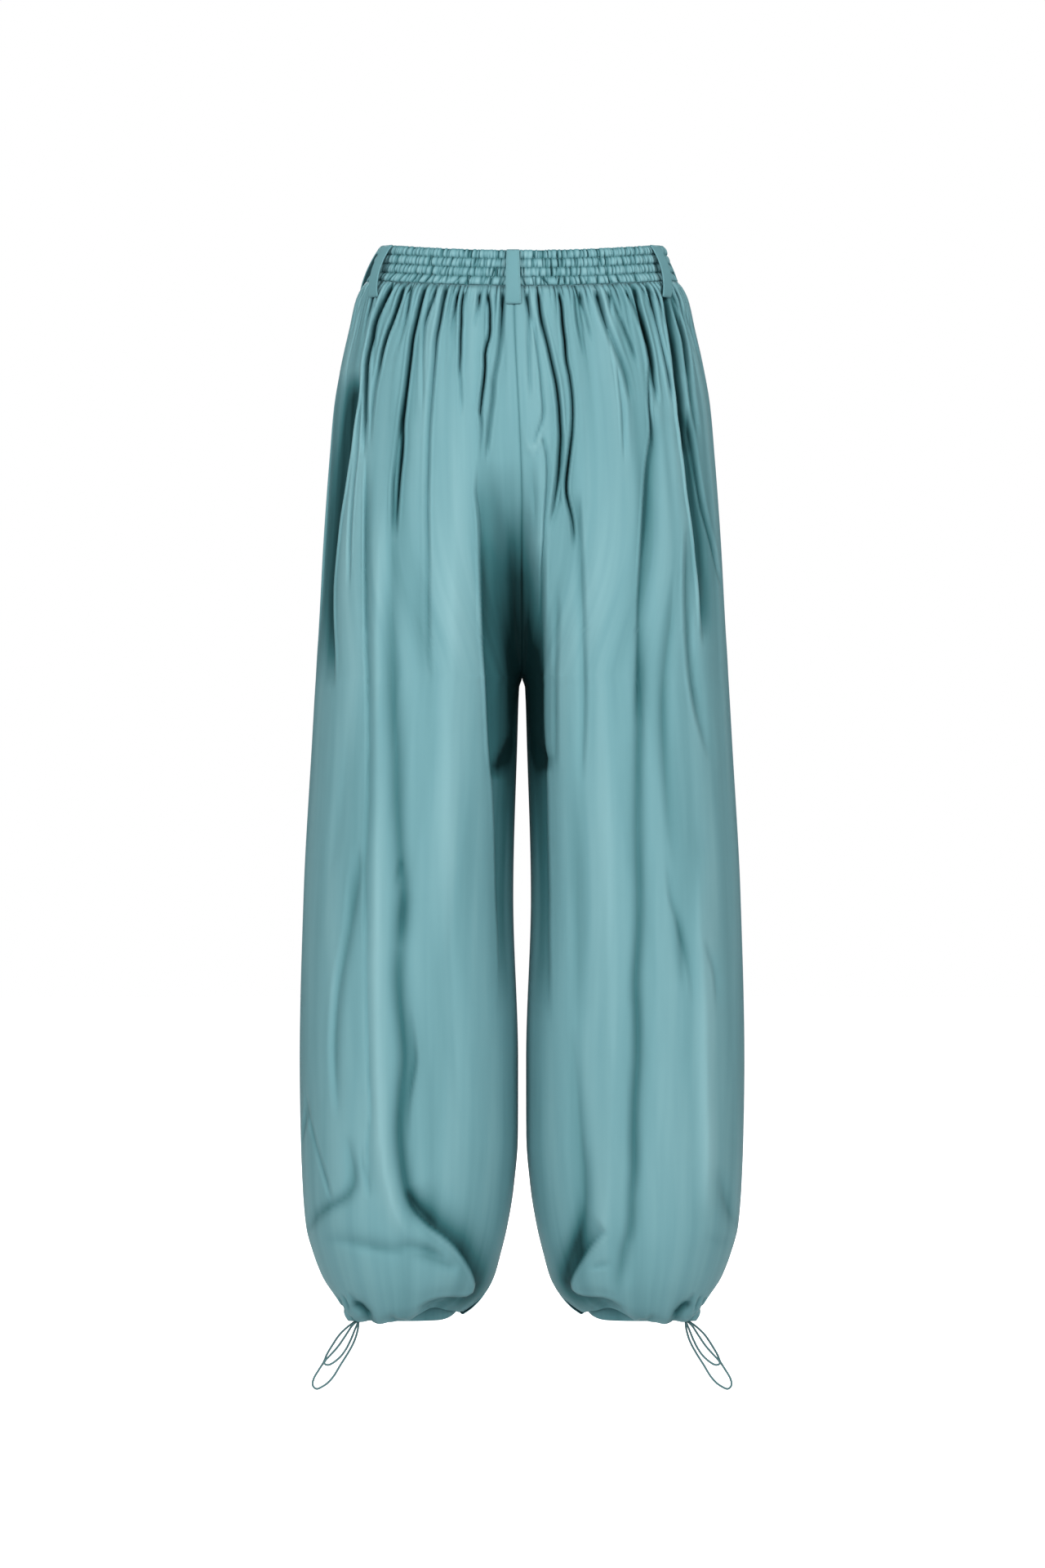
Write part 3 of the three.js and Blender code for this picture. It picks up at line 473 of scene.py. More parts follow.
FOLDS["back_right"] = [
    (1.6, 1.9, [(4.2, -28, 12.8), (5.7, -37, 9.1), (6.5, -47, 7.2), (6.5, -58, 4.1),
        (6.5, -89, 2.9), (7.2, -120, 2), (8, -135, 0)]),
    (1, 2.1, [(8, -40, 0), (9.5, -52, 2.5), (11.8, -67, 2.9), (14.1, -85, 3.3),
        (16.4, -104, 3.3), (17.9, -126, 3.3), (19.4, -141, 3.7), (18.6, -153, 4.1),
        (15.6, -162, 4.6), (11.8, -172, 3.3), (9.5, -178, 0)]),
    (2.1, 2.1, [(2.7, -152, 0), (1.9, -167, -2.7), (4.2, -177, -3.2), (8.7, -182, -3.2),
        (13.3, -178, -3.2), (16.3, -169, -2.2), (18.6, -159, 0)]),
    (1.1, 2.4, [(16.3, -166, 0), (19.4, -173, 3.3), (22.4, -185, 3.7), (23.2, -204, 3.7),
        (22.4, -222, 3.7), (20.9, -245, 3.7), (19.4, -279, 3.7), (18.7, -310, 3.1),
        (17.9, -340, 0)]),
    (5, 5, [(11, -177, 0), (9.5, -200, 2.1), (11.8, -226, 3.9), (12.6, -249, 2.6),
        (13.3, -272, 0)]),
    (2, 1.8, [(15.6, -28, 11.6), (16.4, -37, 9.7), (17.9, -49, 11.6), (20.2, -60, 11.6),
        (22.5, -70, 11.6), (24.8, -81, 11.6), (27, -92, 11.6), (29.3, -104, 11.6),
        (31.6, -115, 11.6), (33.1, -127, 11.6), (34.6, -140, 11.6), (35.4, -154, 11.6),
        (36.1, -168, 11.6), (35.4, -182, 11.6), (34.6, -196, 11), (33.1, -211, 9.1),
        (30.8, -226, 6.6), (28.5, -240, 4.1), (24.7, -255, 0)]),
    (1.1, 1.4, [(39.2, -158, 0), (39.2, -181, 2.7), (37.6, -207, 3.3), (35.4, -226, 3.3),
        (31.6, -243, 2.5), (27, -258, 0)]),
    (1.8, 1.4, [(35.5, -28, 12.8), (37, -37, 11), (37.7, -49, 11), (38.5, -60, 11),
        (40, -70, 11), (40.7, -83, 10.3), (41.5, -95, 9.1), (43.8, -104, 7.8),
        (45.3, -115, 7.8), (46.8, -127, 7.8), (47.6, -140, 7.8), (47.5, -154, 7.8),
        (46.8, -167, 9.1), (45.3, -179, 11), (43.7, -192, 12.8), (42.2, -205, 13.5),
        (41.4, -219, 12.8), (43.7, -232, 11), (46.8, -244, 7.8), (48.3, -257, 5.3),
        (49.1, -273, 0)]),
    (4, 2, [(52.9, -219, 0), (53.6, -238, 4.1), (54.4, -264, 4.6), (55.9, -302, 4.6),
        (57.5, -348, 4.6), (58.2, -386, 4.6), (58.3, -424, 4.1), (56.8, -462, 3.1),
        (55.3, -493, 0)]),
    (1.3, 1.6, [(49.2, -28, 3.1), (50, -40, 3.7), (51.5, -54, 3.7), (53.7, -66, 3.3),
        (56, -78, 2), (57.5, -90, 0)]),
    (1.4, 1.4, [(54.6, -27, 12.8), (55.3, -35, 6.6), (57.6, -42, 3.7), (60.6, -52, 3.3),
        (62.9, -63, 2.9), (65.9, -76, 0)]),
    (2.4, 2.4, [(69.9, -27, 12.8), (72.2, -36, 10.3), (75.2, -46, 9.1), (78.2, -56, 7.2),
        (82, -66, 6.6), (85.8, -76, 6.6), (89.6, -87, 6.8), (93.4, -97, 6.6),
        (96.5, -108, 5.8), (98.8, -119, 4.6), (101.8, -136, 0)]),
    (1.3, 2.4, [(88.1, -92, 0), (90.3, -111, 2.5), (91.8, -127, 2.5), (93.4, -142, 3.1),
        (94.1, -159, 3.1), (94.8, -176, 2), (94.8, -192, 0)]),
    (1.6, 1.6, [(81.4, -26, 11.6), (82.1, -35, 5.3), (82.9, -46, 0)]),
    (1.9, 1.2, [(83.7, -28, 2), (87.5, -39, 4.1), (92, -50, 4.3), (96.6, -62, 4.8),
        (100.4, -72, 5.3), (103.5, -82, 4.8), (106.5, -96, 0)]),
    (1.6, 1.4, [(97.6, -24, 11.6), (101.4, -32, 7.8), (104.4, -39, 4.7), (109, -52, 2.5),
        (113.6, -64, 2.6), (117.4, -77, 0)]),
    (2.4, 1.9, [(106.1, -23, 12.8), (107.5, -32, 11.6), (109.8, -42, 12.2), (112.8, -52, 15.9),
        (115.1, -61, 15.9), (117.4, -71, 15.9), (119.7, -81, 15.1), (121.2, -91, 14.3),
        (122.7, -101, 12.6), (123.4, -111, 10.1), (124.9, -122, 6.9), (127.2, -137, 0)]),
    (1.1, 1.3, [(119.6, -92, 0), (118.8, -107, 4.8), (118.8, -122, 4.8), (118.7, -139, 4.8),
        (120.2, -153, 5.3), (121, -164, 3.8), (121, -176, 0)]),
    (1.4, 9, [(120.2, -145, 0), (121, -164, 5.6), (119.4, -178, 6.9), (117.1, -194, 6.9),
        (115.5, -212, 6.9), (113.2, -249, 6.9), (110.8, -287, 5.3), (108.5, -325, 5.3),
        (107.7, -363, 5.3), (106.9, -401, 4.7), (105.4, -439, 0)]),
    (5.5, 5.5, [(110, -340, 0), (109.2, -386, 3.9), (110, -432, 6.5), (108.4, -477, 6.2),
        (107.7, -523, 6.2), (108.4, -561, 6.8), (109.2, -599, 6.8), (108.4, -637, 7.3),
        (106.2, -675, 7.8), (107.7, -717, 7.8), (107.7, -751, 7.8), (105.4, -789, 7.8),
        (104.6, -820, 7.8), (104.7, -850, 7.3), (102.4, -877, 6.2), (101.7, -896, 6.2),
        (100.2, -911, 6.5), (96.4, -925, 5.9), (93.4, -941, 5.2), (90.4, -958, 3.2),
        (89.8, -976, 0)]),
    (1.8, 1.5, [(118.5, -22, 16.6), (120.7, -30, 13.4), (122.2, -37, 13.4), (124.5, -46, 9.4),
        (126.8, -58, 6.2), (129.8, -71, 5.6), (132.8, -85, 5.6), (135.9, -100, 5.6),
        (138.9, -117, 4.8), (141.2, -134, 0)]),
    (2.1, 4, [(133.3, -25, 15.1), (135.5, -36, 13.4), (137, -47, 15.1), (138.5, -57, 15.1),
        (140, -66, 15.1), (141.5, -76, 18.3), (143, -87, 18.3), (144.5, -99, 18.3),
        (145.2, -110, 18.3), (146.7, -122, 18.3), (148.2, -134, 18.3), (149, -146, 18.3),
        (150.5, -157, 18.3), (152.1, -168, 15.1), (152.8, -183, 0)]),
    (1.9, 9, [(148.2, -140, 0), (151.3, -159, 10.1), (152.8, -175, 15.9), (154.3, -188, 16.6),
        (155.9, -201, 16.6), (157.4, -217, 16.6), (159.7, -232, 16.6), (162, -247, 16.6),
        (164.3, -264, 16.6), (165.8, -282, 15.9), (167.4, -297, 14.3), (168.9, -316, 11.8),
        (169.6, -336, 8.6), (170.3, -362, 0)]),
    (1.8, 2.7, [(141.2, -28, 2.6), (143.4, -39, 6.9), (146.5, -50, 9.4), (149.5, -61, 13.4),
        (152.6, -72, 13.4), (154.1, -83, 12.6), (155.6, -97, 11.8), (157.1, -110, 7.5),
        (158.5, -124, 6.9), (160.1, -137, 6), (162.4, -149, 4.8), (165.5, -164, 0)]),
    (1.6, 2.4, [(155.3, -136, 0), (157.6, -159, 3.8), (160.7, -178, 4.3), (163.8, -197, 4.8),
        (166.9, -216, 5.6), (170, -233, 6.2), (174.8, -251, 6.2), (179.6, -270, 6),
        (184.4, -291, 5.3), (188.7, -311, 0)]),
    (1.3, 1.3, [(143.7, -22, 4), (149.8, -38, 3.8), (156.9, -55, 3.2), (162.4, -72, 3.2),
        (167.1, -91, 0)]),
    (1.3, 1.3, [(139.6, -25, 4), (145, -34, 4), (151.3, -47, 3.2), (156.8, -63, 2.6),
        (162.2, -84, 0)]),
    (1.3, 1.3, [(126.2, -26, 5.3), (129.3, -35, 5.3), (132.3, -48, 2.6), (134.6, -60, 0)]),
    (2.2, 7, [(154.9, -248, 0), (154, -286, 5.3), (153.9, -324, 5.6), (155.4, -359, 6),
        (157.7, -389, 6.6), (160.7, -410, 6.9), (164.6, -430, 4.6), (170, -450, 2.9),
        (177.9, -473, 0)]),
    (5, 5, [(141.6, -294, 0), (139.2, -340, 3.1), (135.3, -371, 3.9), (132.9, -401, 4.7),
        (132.1, -432, 4.9), (133.6, -470, 4.4), (135.9, -508, 3.4), (139, -542, 2.3),
        (142.8, -572, 0)]),
    (2.2, 4, [(134.4, -553, 0), (139, -599, 3.3), (144.3, -616, 4.1), (148.2, -633, 4.1),
        (152.8, -651, 3.7), (157.4, -672, 2.5), (160.5, -698, 0)]),
    (2.2, 4, [(169.8, -638, 0), (173.7, -651, 2.9), (178.5, -662, 3.3), (180.8, -680, 2.5),
        (181.6, -703, 0)]),
    (4, 4, [(143.6, -614, 0), (147.4, -637, 3.3), (149.7, -660, 3.3), (151.2, -687, 0)]),
    (24, 2.6, [(18.7, -264, 0), (17.9, -294, 4.7), (17.9, -340, 7.2), (18, -393, 8.5),
        (18, -431, 9.1), (19.5, -462, 8.5), (21.1, -489, 7.2), (21.8, -523, 6.6),
        (22.6, -562, 6), (23.4, -596, 5.6), (23.4, -630, 5.1), (24.1, -669, 4.1),
        (24.9, -715, 0)]),
    (10, 4, [(7.3, -450, 0), (12.7, -458, 5.3), (19.5, -466, 7.2), (26.4, -473, 5.3),
        (29.4, -477, 0)]),
    (2.4, 2.4, [(32.4, -295, 0), (32.4, -340, 2.9), (30.9, -393, 3.3), (31, -447, 3.3),
        (31.7, -485, 0)]),
    (9, 7, [(46.2, -714, 0), (50.7, -767, 3.2), (54.5, -820, 5.2), (57.6, -851, 6.5),
        (58.3, -878, 7.2), (56.8, -897, 7.8), (52.3, -916, 7.8), (46.3, -936, 6.5),
        (40.3, -957, 3.9), (36, -977, 0)]),
    (17, 2.4, [(79.6, -908, 0), (73.6, -913, 5.3), (66.8, -920, 7.3), (59.2, -930, 9.3),
        (53.1, -939, 10.1), (47.9, -948, 10.1), (44.1, -957, 10.1), (42.6, -966, 10.1),
        (46.5, -973, 9.6), (54.9, -978, 9.1), (65.5, -981, 7.8), (76.9, -982, 7.8),
        (86.1, -985, 5.3), (96.9, -992, 0)]),
    (9, 9, [(80.3, -416, 0), (80.3, -485, -1.6), (81.1, -599, -2.2), (84.1, -713, -2.4),
        (84.1, -789, -2.7), (82.6, -850, -2.7), (78.1, -896, -2.7), (72.8, -920, -2),
        (69.1, -939, 0)]),
    (8, 12, [(166.8, -554, 0), (165.2, -615, -3.4), (169.8, -691, -4.1), (171.4, -767, -4.1),
        (173, -829, -4.1), (173, -867, -2.7), (173.1, -898, 0)]),
    (12, 14, [(72.7, -158, 0), (71.1, -234, -0.8), (72.7, -340, -0.8), (75, -432, -0.8),
        (78, -493, 0)]),
    (9, 9, [(51.5, -493, 0), (51.5, -584, 1.8), (52.2, -676, 2.1), (52.2, -752, 0)]),
    (7, 7, [(184, -848, 0), (187.2, -868, 3.1), (192.1, -887, 4.2), (198, -900, 3.4),
        (202.6, -912, 0)]),
    (6, 6, [(170, -913, 0), (178.7, -919, 1.6), (189.2, -922, 1.6), (196, -925, 0)]),
    (2.2, 3.3, [(63, -948, 0), (70.6, -944, 2), (78.2, -942, 1.6), (84.3, -940, 0)]),
    (4.5, 6, [(156.8, -977, 0), (153, -982, 9.1), (148.4, -986, 13), (144.6, -990, 13),
        (141.7, -995, 10.4)]),
    (2.2, 2.9, [(125.2, -990, 0), (120.7, -993, 6.6), (115.5, -996, 7.8), (111.6, -999, 5.3)]),
    (1.5, 1.5, [(174.4, -974, 0), (170.6, -981, 5.3), (167.8, -992, 6.6), (163.9, -1001, 5.3)]),
    (1.3, 1.5, [(168.6, -972, 0), (164.8, -980, 5.3), (161.2, -989, 6.6), (158.5, -999, 5.3)]),
    (1.3, 1.5, [(178.6, -979, 0), (175.5, -986, 5.3), (172.4, -993, 5.3), (169.3, -999, 4.1)]),
    (4, 2.2, [(162.1, -968, 0), (159.1, -976, 4.1), (156.2, -983, 5.3), (154.7, -988, 0)]),
]
for name, folds in FOLDS.items():
    print(name, "folds:", len(folds))

# %% [markdown]
# The front hangs much as the back does, and has folds of the same kinds in other places.
# They come from shorter tables. A gather starts at the waist seam, and its row has the
# place at the top, the place and height of its foot, how far it bows outward, its depth
# and its half width. A crease's row has the place and height of both ends instead.

# %% Folds of the front
GATHER_TOP = -19
GATHERS = {
    "front_left": [
        (138, 160, -140, 2, 4, 3.5), (127, 150, -210, 4, 7, 3.2), (114, 120, -50, 0, 5, 2.4),
        (103, 123, -125, 2, 7, 2.8), (92, 97, -60, 0, 5, 2.4), (80, 97, -190, 3, 7.5, 2.8),
        (69, 73, -48, 0, 4.5, 2.4), (58, 66, -112, 0, 7, 2.6), (46, 48, -55, 0, 4.5, 2.4),
        (34, 45, -172, 3, 7.5, 2.8), (22, 26, -95, 0, 6, 2.4), (10, 12, -60, 0, 4.5, 2.2)],
    "front_right": [
        (137, 158, -118, 1, 4, 3.4), (125, 135, -62, 0, 5.5, 2.6), (113, 138, -232, 4, 7.5, 3.2),
        (101, 108, -58, 0, 5, 2.4), (90, 106, -138, 2, 7, 2.8), (78, 84, -72, 0, 5.5, 2.4),
        (66, 80, -184, 3, 7.5, 2.8), (55, 58, -46, 0, 4.5, 2.2), (44, 52, -126, 0, 7, 2.6),
        (32, 36, -64, 0, 5, 2.4), (20, 30, -160, 3, 7, 2.8), (9, 11, -70, 0, 4.5, 2.4)],
}
CREASES = {
    "front_left": [
        (158, -150, 181, -430, 4, 7, 5), (128, -240, 122, -820, 4, -4, 12),
        (112, -230, 104, -640, -3, 4, 8), (106, -650, 96, -900, -5, 6, 8),
        (60, -250, 56, -760, 2, -3, 16), (40, -260, 38, -560, 0, 3, 7),
        (170, -560, 176, -800, 3, 3, 8), (92, -880, 48, -965, 12, 8, 7),
        (148, -300, 150, -690, 2, 1.6, 3), (90, -190, 84, -520, 0, 1.8, 4),
        (140, -905, 86, -918, 3, 2.4, 4), (60, -790, 52, -930, 0, 3, 9)],
    "front_right": [
        (161, -170, 180, -400, 4, 6, 5), (140, -260, 144, -780, 3, -4, 13),
        (118, -250, 121, -600, -3, 4, 8), (122, -620, 108, -930, 4, 6, 8),
        (74, -240, 70, -700, 0, -3, 15), (52, -240, 54, -520, 3, 3, 6),
        (50, -760, 46, -930, 0, 6, 9), (176, -620, 180, -840, 2, 3, 7),
        (98, -210, 96, -560, 2, 1.8, 4), (156, -420, 160, -740, -2, 1.6, 3),
        (150, -900, 104, -915, -3, 2, 4), (86, -870, 60, -960, 8, 5, 6)],
}


def bowed(x, z, to_x, to_z, bow, depth, width, gather):
    """A fold's row as a line of points: straight from one end to the other, plus a bow of
    4t(1 - t) to the side. A gather is deepest just under the seam and fades to its foot,
    a crease is deepest halfway."""
    t = np.linspace(0, 1, 9)
    side = unit(np.array([to_z - z, x - to_x], float)) * (-1, -1)
    halfway = 4 * t * (1 - t)
    places = (np.outer(1 - t, (x, z)) + np.outer(t, (to_x, to_z))
              + np.outer(halfway * bow, side))
    fade = np.minimum(1, 0.4 + 8 * t) * (1 - t ** 2.5) if gather else np.sqrt(halfway)
    return (width, width, np.column_stack([places, depth * fade]))


for name, rows in GATHERS.items():
    FOLDS[name] = [bowed(top, GATHER_TOP, foot, reach, bow, depth, width, True)
                   for top, foot, reach, bow, depth, width in rows]
    FOLDS[name] += [bowed(*row, False) for row in CREASES[name]]
    print(name, "folds:", len(FOLDS[name]))

# %% [markdown]
# The lines now press into the body. Across a fold the cloth drops to a sharp valley, with a
# shallow skirt that spreads further. Beside a narrow fold it rises a little, as cloth does
# when it is pushed together.

# %% Relief of the folds
SHARPNESS = 1.5
SKIRT, SKIRT_WIDTH, SKIRT_LIMIT = 0.22, 3.6, 9 * MM
SHOULDER, SHOULDER_AT, SHOULDER_SLOPE = 0.2, 2.1, 1.2
NARROW = 4 * MM
CUT_OFF = 3  # half widths, and the skirt's limit on top
LINE_STEP = 9
ROUND_THE_SIDE = 0.4
SHARE_GRID = np.linspace(0, 1, 300)


def on_body(places, face):
    """The points of the smooth body at distances from the middle and heights."""
    heights = places[:, 1]
    sizes = sizes_at(heights)
    x = smooth_body(heights, sizes, face, SHARE_GRID[None, :])[:, :, 0]
    share = np.array([np.interp(-place, -row, SHARE_GRID) for place, row in zip(places[:, 0], x)])
    return smooth_body(heights, sizes, face, share[:, None])[:, 0]


def fold_relief(points, normals, folds, face):
    """How far the folds push each point in (below 0) or out. The nearest place on a fold's
    line gives a distance d and a depth h. The push is -h times exp(-(d/w)^1.5), where w is
    the half width on that side. In a narrow fold a share of this is exp(-(d/s)^2) instead,
    where the skirt's width s is 3.6 w and at most 9 mm, and about 2 w away the cloth stands
    out by up to a fifth of h. The distance from back to front counts less in d, so that a
    fold keeps its width in the picture where the body turns to the side."""
    squash = np.array([1, ROUND_THE_SIDE, 1])
    relief = np.zeros(len(points))
    for minus, plus, line in folds:
        rows, _ = curve_through(np.array(line, float), LINE_STEP)
        path = on_body(rows[:, :2] * MM, face)
        flat_path, flat_points = path * squash, points * squash
        depth = rows[:, 2] * MM
        widest = max(minus, plus) * MM
        reach = CUT_OFF * widest + SKIRT_LIMIT
        near = np.all((flat_points > flat_path.min(0) - reach)
                      & (flat_points < flat_path.max(0) + reach), axis=1)
        chosen = np.flatnonzero(near)
        if not len(chosen):
            continue
        place = flat_points[chosen][:, None]
        start, step = flat_path[:-1], np.diff(flat_path, axis=0)
        t = np.clip(np.einsum("nkc,kc->nk", place - start, step) / (step ** 2).sum(1), 0, 1)
        offset = place - (start + t[:, :, None] * step)
        distance = np.linalg.norm(offset, axis=2)
        best = distance.argmin(1)
        pick = np.arange(len(chosen))
        t, offset, distance = t[pick, best], offset[pick, best], distance[pick, best]
        turn = np.einsum("nc,nc->n", np.cross(step[best], offset), normals[chosen])
        width = np.where(turn > 0, plus, minus) * MM
        ratio = distance / width
        slope = np.exp(-(distance / np.minimum(SKIRT_WIDTH * width, SKIRT_LIMIT)) ** 2)
        push = -mix(np.exp(-ratio ** SHARPNESS), slope, SKIRT * (width < SKIRT_LIMIT / 2))
        rise = np.exp(-((ratio - SHOULDER_AT) * SHOULDER_SLOPE) ** 2)
        beside = rise * SHOULDER * (width < NARROW)
        relief[chosen] += mix(depth[best], depth[best + 1], t) * (push + beside)
    return relief


print("a fold is cut off at", CUT_OFF, "half widths and", round(SKIRT_LIMIT / MM), "mm")

# %% [markdown]
# Under the waist seam the cloth is also gathered much more finely. Five sets of random
# gathers, from fine ones that die out 1 cm below the seam to broad ones that run down the
# leg, are added together. The random numbers have a fixed seed, so the pants are the same
# each time.

# %% Fine gathers
# Spacing, depth, half width and how far down they reach, in millimetres.
FINE_GATHERS = (
    (4.4, 4.2, 0.9, 10), (9.5, 4.4, 1.2, 26), (17, 3, 1.5, 60), (31, 2.4, 6, 210),
    (26, 1.4, 6, 800))
draw = np.random.default_rng(12)


def random_valleys(length, spacing, depth, width, at):
    """The sum of valleys -h exp(-((u - p)/w)^2) at random places p along a length, less
    its mean, so that the cloth as a whole stays where it was."""
    count = int(length / spacing)
    places = (np.arange(count) + draw.uniform(0.1, 0.9, count)) * spacing
    depths = depth * draw.uniform(0.3, 1.4, count)
    widths = width * draw.uniform(0.7, 1.4, count)
    valleys = -(depths * np.exp(-((at[:, None] - places) / widths) ** 2)).sum(1)
    return valleys - valleys.mean()


def fine_gathers(along, below):
    """Small gathers at each column's place along the seam. At a distance b below it they
    are exp(-(b/r)^1.5) times as deep, where r is their reach."""
    total = np.zeros((len(below), len(along)))
    for spacing, depth, width, reach in np.array(FINE_GATHERS) * MM:
        valleys = random_valleys(along[-1], spacing, depth, width, along)
        total += np.exp(-(below[:, None] / reach) ** 1.5) * valleys[None, :]
    return total


print("sets of fine gathers:", len(FINE_GATHERS))


# %% [markdown]
# ## Leg panels
# Two panels behind and two in front make the body and the legs. Between the thighs the
# cloth hangs back into a hollow, deepest at the crotch and gone below the knee. A table
# says how it runs, a little to the wearer's left at the top.

# %% The hollow between the thighs
# Height in millimetres, how far the cloth sinks towards the middle, as a share of its
# depth, the half width of the hollow and how far its centre is to the side.
HOLLOW = np.array([
    (-1000, 0, 18, 0), (-900, 0, 18, 0), (-750, 0.06, 16, 0), (-650, 0.15, 18, 0),
    (-560, 0.34, 19, 0), (-450, 0.5, 20, 0), (-391, 0.56, 20, 0), (-350, 0.52, 19, -2),
    (-300, 0.46, 17, -4), (-265, 0.33, 16, -6), (-235, 0.18, 17, -8), (-196, 0.06, 20, -10),
    (-150, 0, 18, -12), (0, 0, 18, -14)])
FRONT_HOLLOW = 0.6


def hollow_share(points, side, face):
    """Share of its depth by which each point sinks: the hollow's own at that height times
    exp(-|(x - c)/w|^3), where c is the hollow's centre and w its half width."""
    share, width, centre = (np.interp(points[:, :, 2] / MM, HOLLOW[:, 0], HOLLOW[:, k])
                            for k in (1, 2, 3))
    share = share * (1 if face == "back" else FRONT_HOLLOW)
    return share * np.exp(-np.abs((side * points[:, :, 0] / MM - centre) / width) ** 3)


print("deepest hollow, as a share of the depth:", HOLLOW[:, 1].max())

# %% [markdown]
# Each panel is a grid of rows at set heights and columns at even distances along the row.
# Rows crowd together above the crotch, where the centre seam turns under, and the last
# ones roll the hem inward and up. The folds push the points in or out, the seams pinch
# them, and the hem's lower edge rises and falls between the gathers of the tunnel.

# %% Grid of a panel
PANEL_WIDTH = 380 * MM
CLOTH = 0.6 * MM
WIDEST_SHARE = 1.2  # a row's end is sought from the side seam to past the middle
SETTLE_FROM = -180 * MM  # below this height the columns ease into those of the leg
NORMAL_STEP, NORMAL_SHARE = 0.5 * MM, 0.001
SEAM_FADE = 13 * MM
SEAM_GROOVE, SEAM_GROOVE_WIDTH = 1.1 * MM, 1.4 * MM
SEAM_SINK, SEAM_SINK_HEIGHT = 1.3 * MM, 2 * MM
SEAM_PINCH, PINCH_SLOPE, CREST_SLOPE = 2.5 * MM, 1.5, 0.3
SINK_STRAIGHT = 2.5  # folds sink this much more from back to front than square to the cloth
# Painted shade from a fold's depth, from the seam grooves and from the hollow between the thighs,
# and a painted highlight where the cloth stands out.
FULL_SHADE, SHADE_POWER, SHADE_ENDS = 7 * MM, 1.2, (-0.8, 1.8)
SEAM_SHADE = 0.6
HOLLOW_SHADE, HOLLOW_POWER = 6, 1.7
COLUMNS = {"back": 180, "front": 136}
FINE_ROWS = 62
ROLL_ROWS = 6
ROLL_FROM = -980 * MM  # below this height the hem rolls, and so do its outward directions
GATHERS_END = (-960 * MM, -880 * MM)
CORNER_LIFT, CORNER_SPREAD, CORNER_HEIGHTS = 6 * MM, 0.1, (955 * MM, 990 * MM)
SCALLOP_HEIGHTS = (972 * MM, 992 * MM)
# Share of the way round, and how far the back hem rises there in millimetres.
SCALLOPS = np.array([
    (0, 0), (0.1, -2), (0.2, -4), (0.28, -3.4), (0.36, -4.6), (0.43, -2.6), (0.5, -4),
    (0.58, 0), (0.66, 2), (0.75, 1), (0.85, 3), (1, 3)])


def panel_heights():
    """Heights of the rows, close together where the surface turns quickly. The first ones,
    among the gathers, have twice as many columns as the rest."""
    turn = np.linspace(0.869, np.pi / 2, 13)[1:]
    return np.concatenate([
        np.linspace(TOP, -345 * MM, FINE_ROWS), BACK_FORK - (BACK_FORK - CROTCH) * np.sin(turn),
        np.linspace(-392 * MM, -402 * MM, 6), np.linspace(-405 * MM, -800 * MM, 57),
        np.linspace(-804 * MM, -930 * MM, 36), np.linspace(-933 * MM, BOTTOM, 28)])


def roll_under(rows):
    """Sizes and heights of the rolled hem, a quarter turn from the lowest row to the hem."""
    turn = np.linspace(0, np.pi / 2, rows + 1)[1:, None]
    sizes = mix(LEVELS[-1:, 1:], HEM[None, 1:], np.sin(turn))
    heights = mix(BOTTOM, HEM[0], 1 - np.cos(turn[:, 0]))
    return heights, sizes


def even_shares(heights, sizes, face, side, count):
    """Shares of the columns in each row, at even distances along it. The row ends at the
    centre seam, or at the inseam below the crotch."""
    wide = np.linspace(0, WIDEST_SHARE, 500)
    x = smooth_body(heights, sizes, face, wide[None, :])[:, :, 0]
    seam = side * centre_seam(heights)
    end = np.array([np.interp(-place, -row, wide) for place, row in zip(seam, x)])
    end = np.where(heights > CENTRE_SHIFT_END, end, 1)
    fine = np.linspace(0, 1, 500)[None, :] * end[:, None]
    points = smooth_body(heights, sizes, face, fine)
    run = np.cumsum(np.linalg.norm(np.diff(points, axis=1), axis=2), axis=1)
    run = np.hstack([np.zeros((len(run), 1)), run])
    even = np.linspace(0, 1, count)
    shares = np.array([np.interp(even * row[-1], row, part) for row, part in zip(run, fine)])
    shares /= end[:, None]
    leg = shares[np.argmax(heights <= CROTCH)]
    settle = (smoothstep(-heights, -SETTLE_FROM, -CROTCH) * (heights > CROTCH))[:, None]
    return mix(shares, leg, settle) * end[:, None], run[:, -1]


def body_normals(heights, sizes, face, shares):
    """Outward directions of the smooth body: square to the steps of half a millimetre up
    and down and of a thousandth of the share to both sides."""
    above, under = heights + NORMAL_STEP, heights - NORMAL_STEP
    upward = (smooth_body(above, sizes_at(above), face, shares)
              - smooth_body(under, sizes_at(under), face, shares))
    before, after = (np.clip(shares + step, 0, WIDEST_SHARE)
                     for step in (-NORMAL_SHARE, NORMAL_SHARE))
    sideways = smooth_body(heights, sizes, face, after) - smooth_body(heights, sizes, face, before)
    return unit(np.cross(upward, sideways) * (1 if face == "back" else -1))


def smooth_panel(heights, sizes, face, shares):
    """Points of a panel without folds, with the lifted outer corner of the hem and the
    scallops of the back hem."""
    smooth = smooth_body(heights, sizes, face, shares)
    corner = (np.exp(-(shares / CORNER_SPREAD) ** 2)
              * smoothstep(-smooth[:, :, 2], *CORNER_HEIGHTS))
    smooth[:, :, 2] += CORNER_LIFT * corner
    if face == "back":
        rise = run_smoothly(SCALLOPS[:, 0], SCALLOPS[:, 1:] * MM, shares.ravel())
        smooth[:, :, 2] += (rise.reshape(shares.shape)
                            * smoothstep(-smooth[:, :, 2], *SCALLOP_HEIGHTS))
    return smooth


def outward_directions(heights, sizes, face, shares, smooth):
    """Outward directions of the smooth body, and on the rolled hem those of its own grid."""
    away = -1 if face == "back" else 1
    normals = body_normals(heights, sizes, face, shares)
    turned = heights < ROLL_FROM
    turned[-ROLL_ROWS:] = True
    rolled = unit(np.cross(np.gradient(smooth, axis=0), np.gradient(smooth, axis=1))) * away
    normals[turned] = rolled[turned]
    return normals


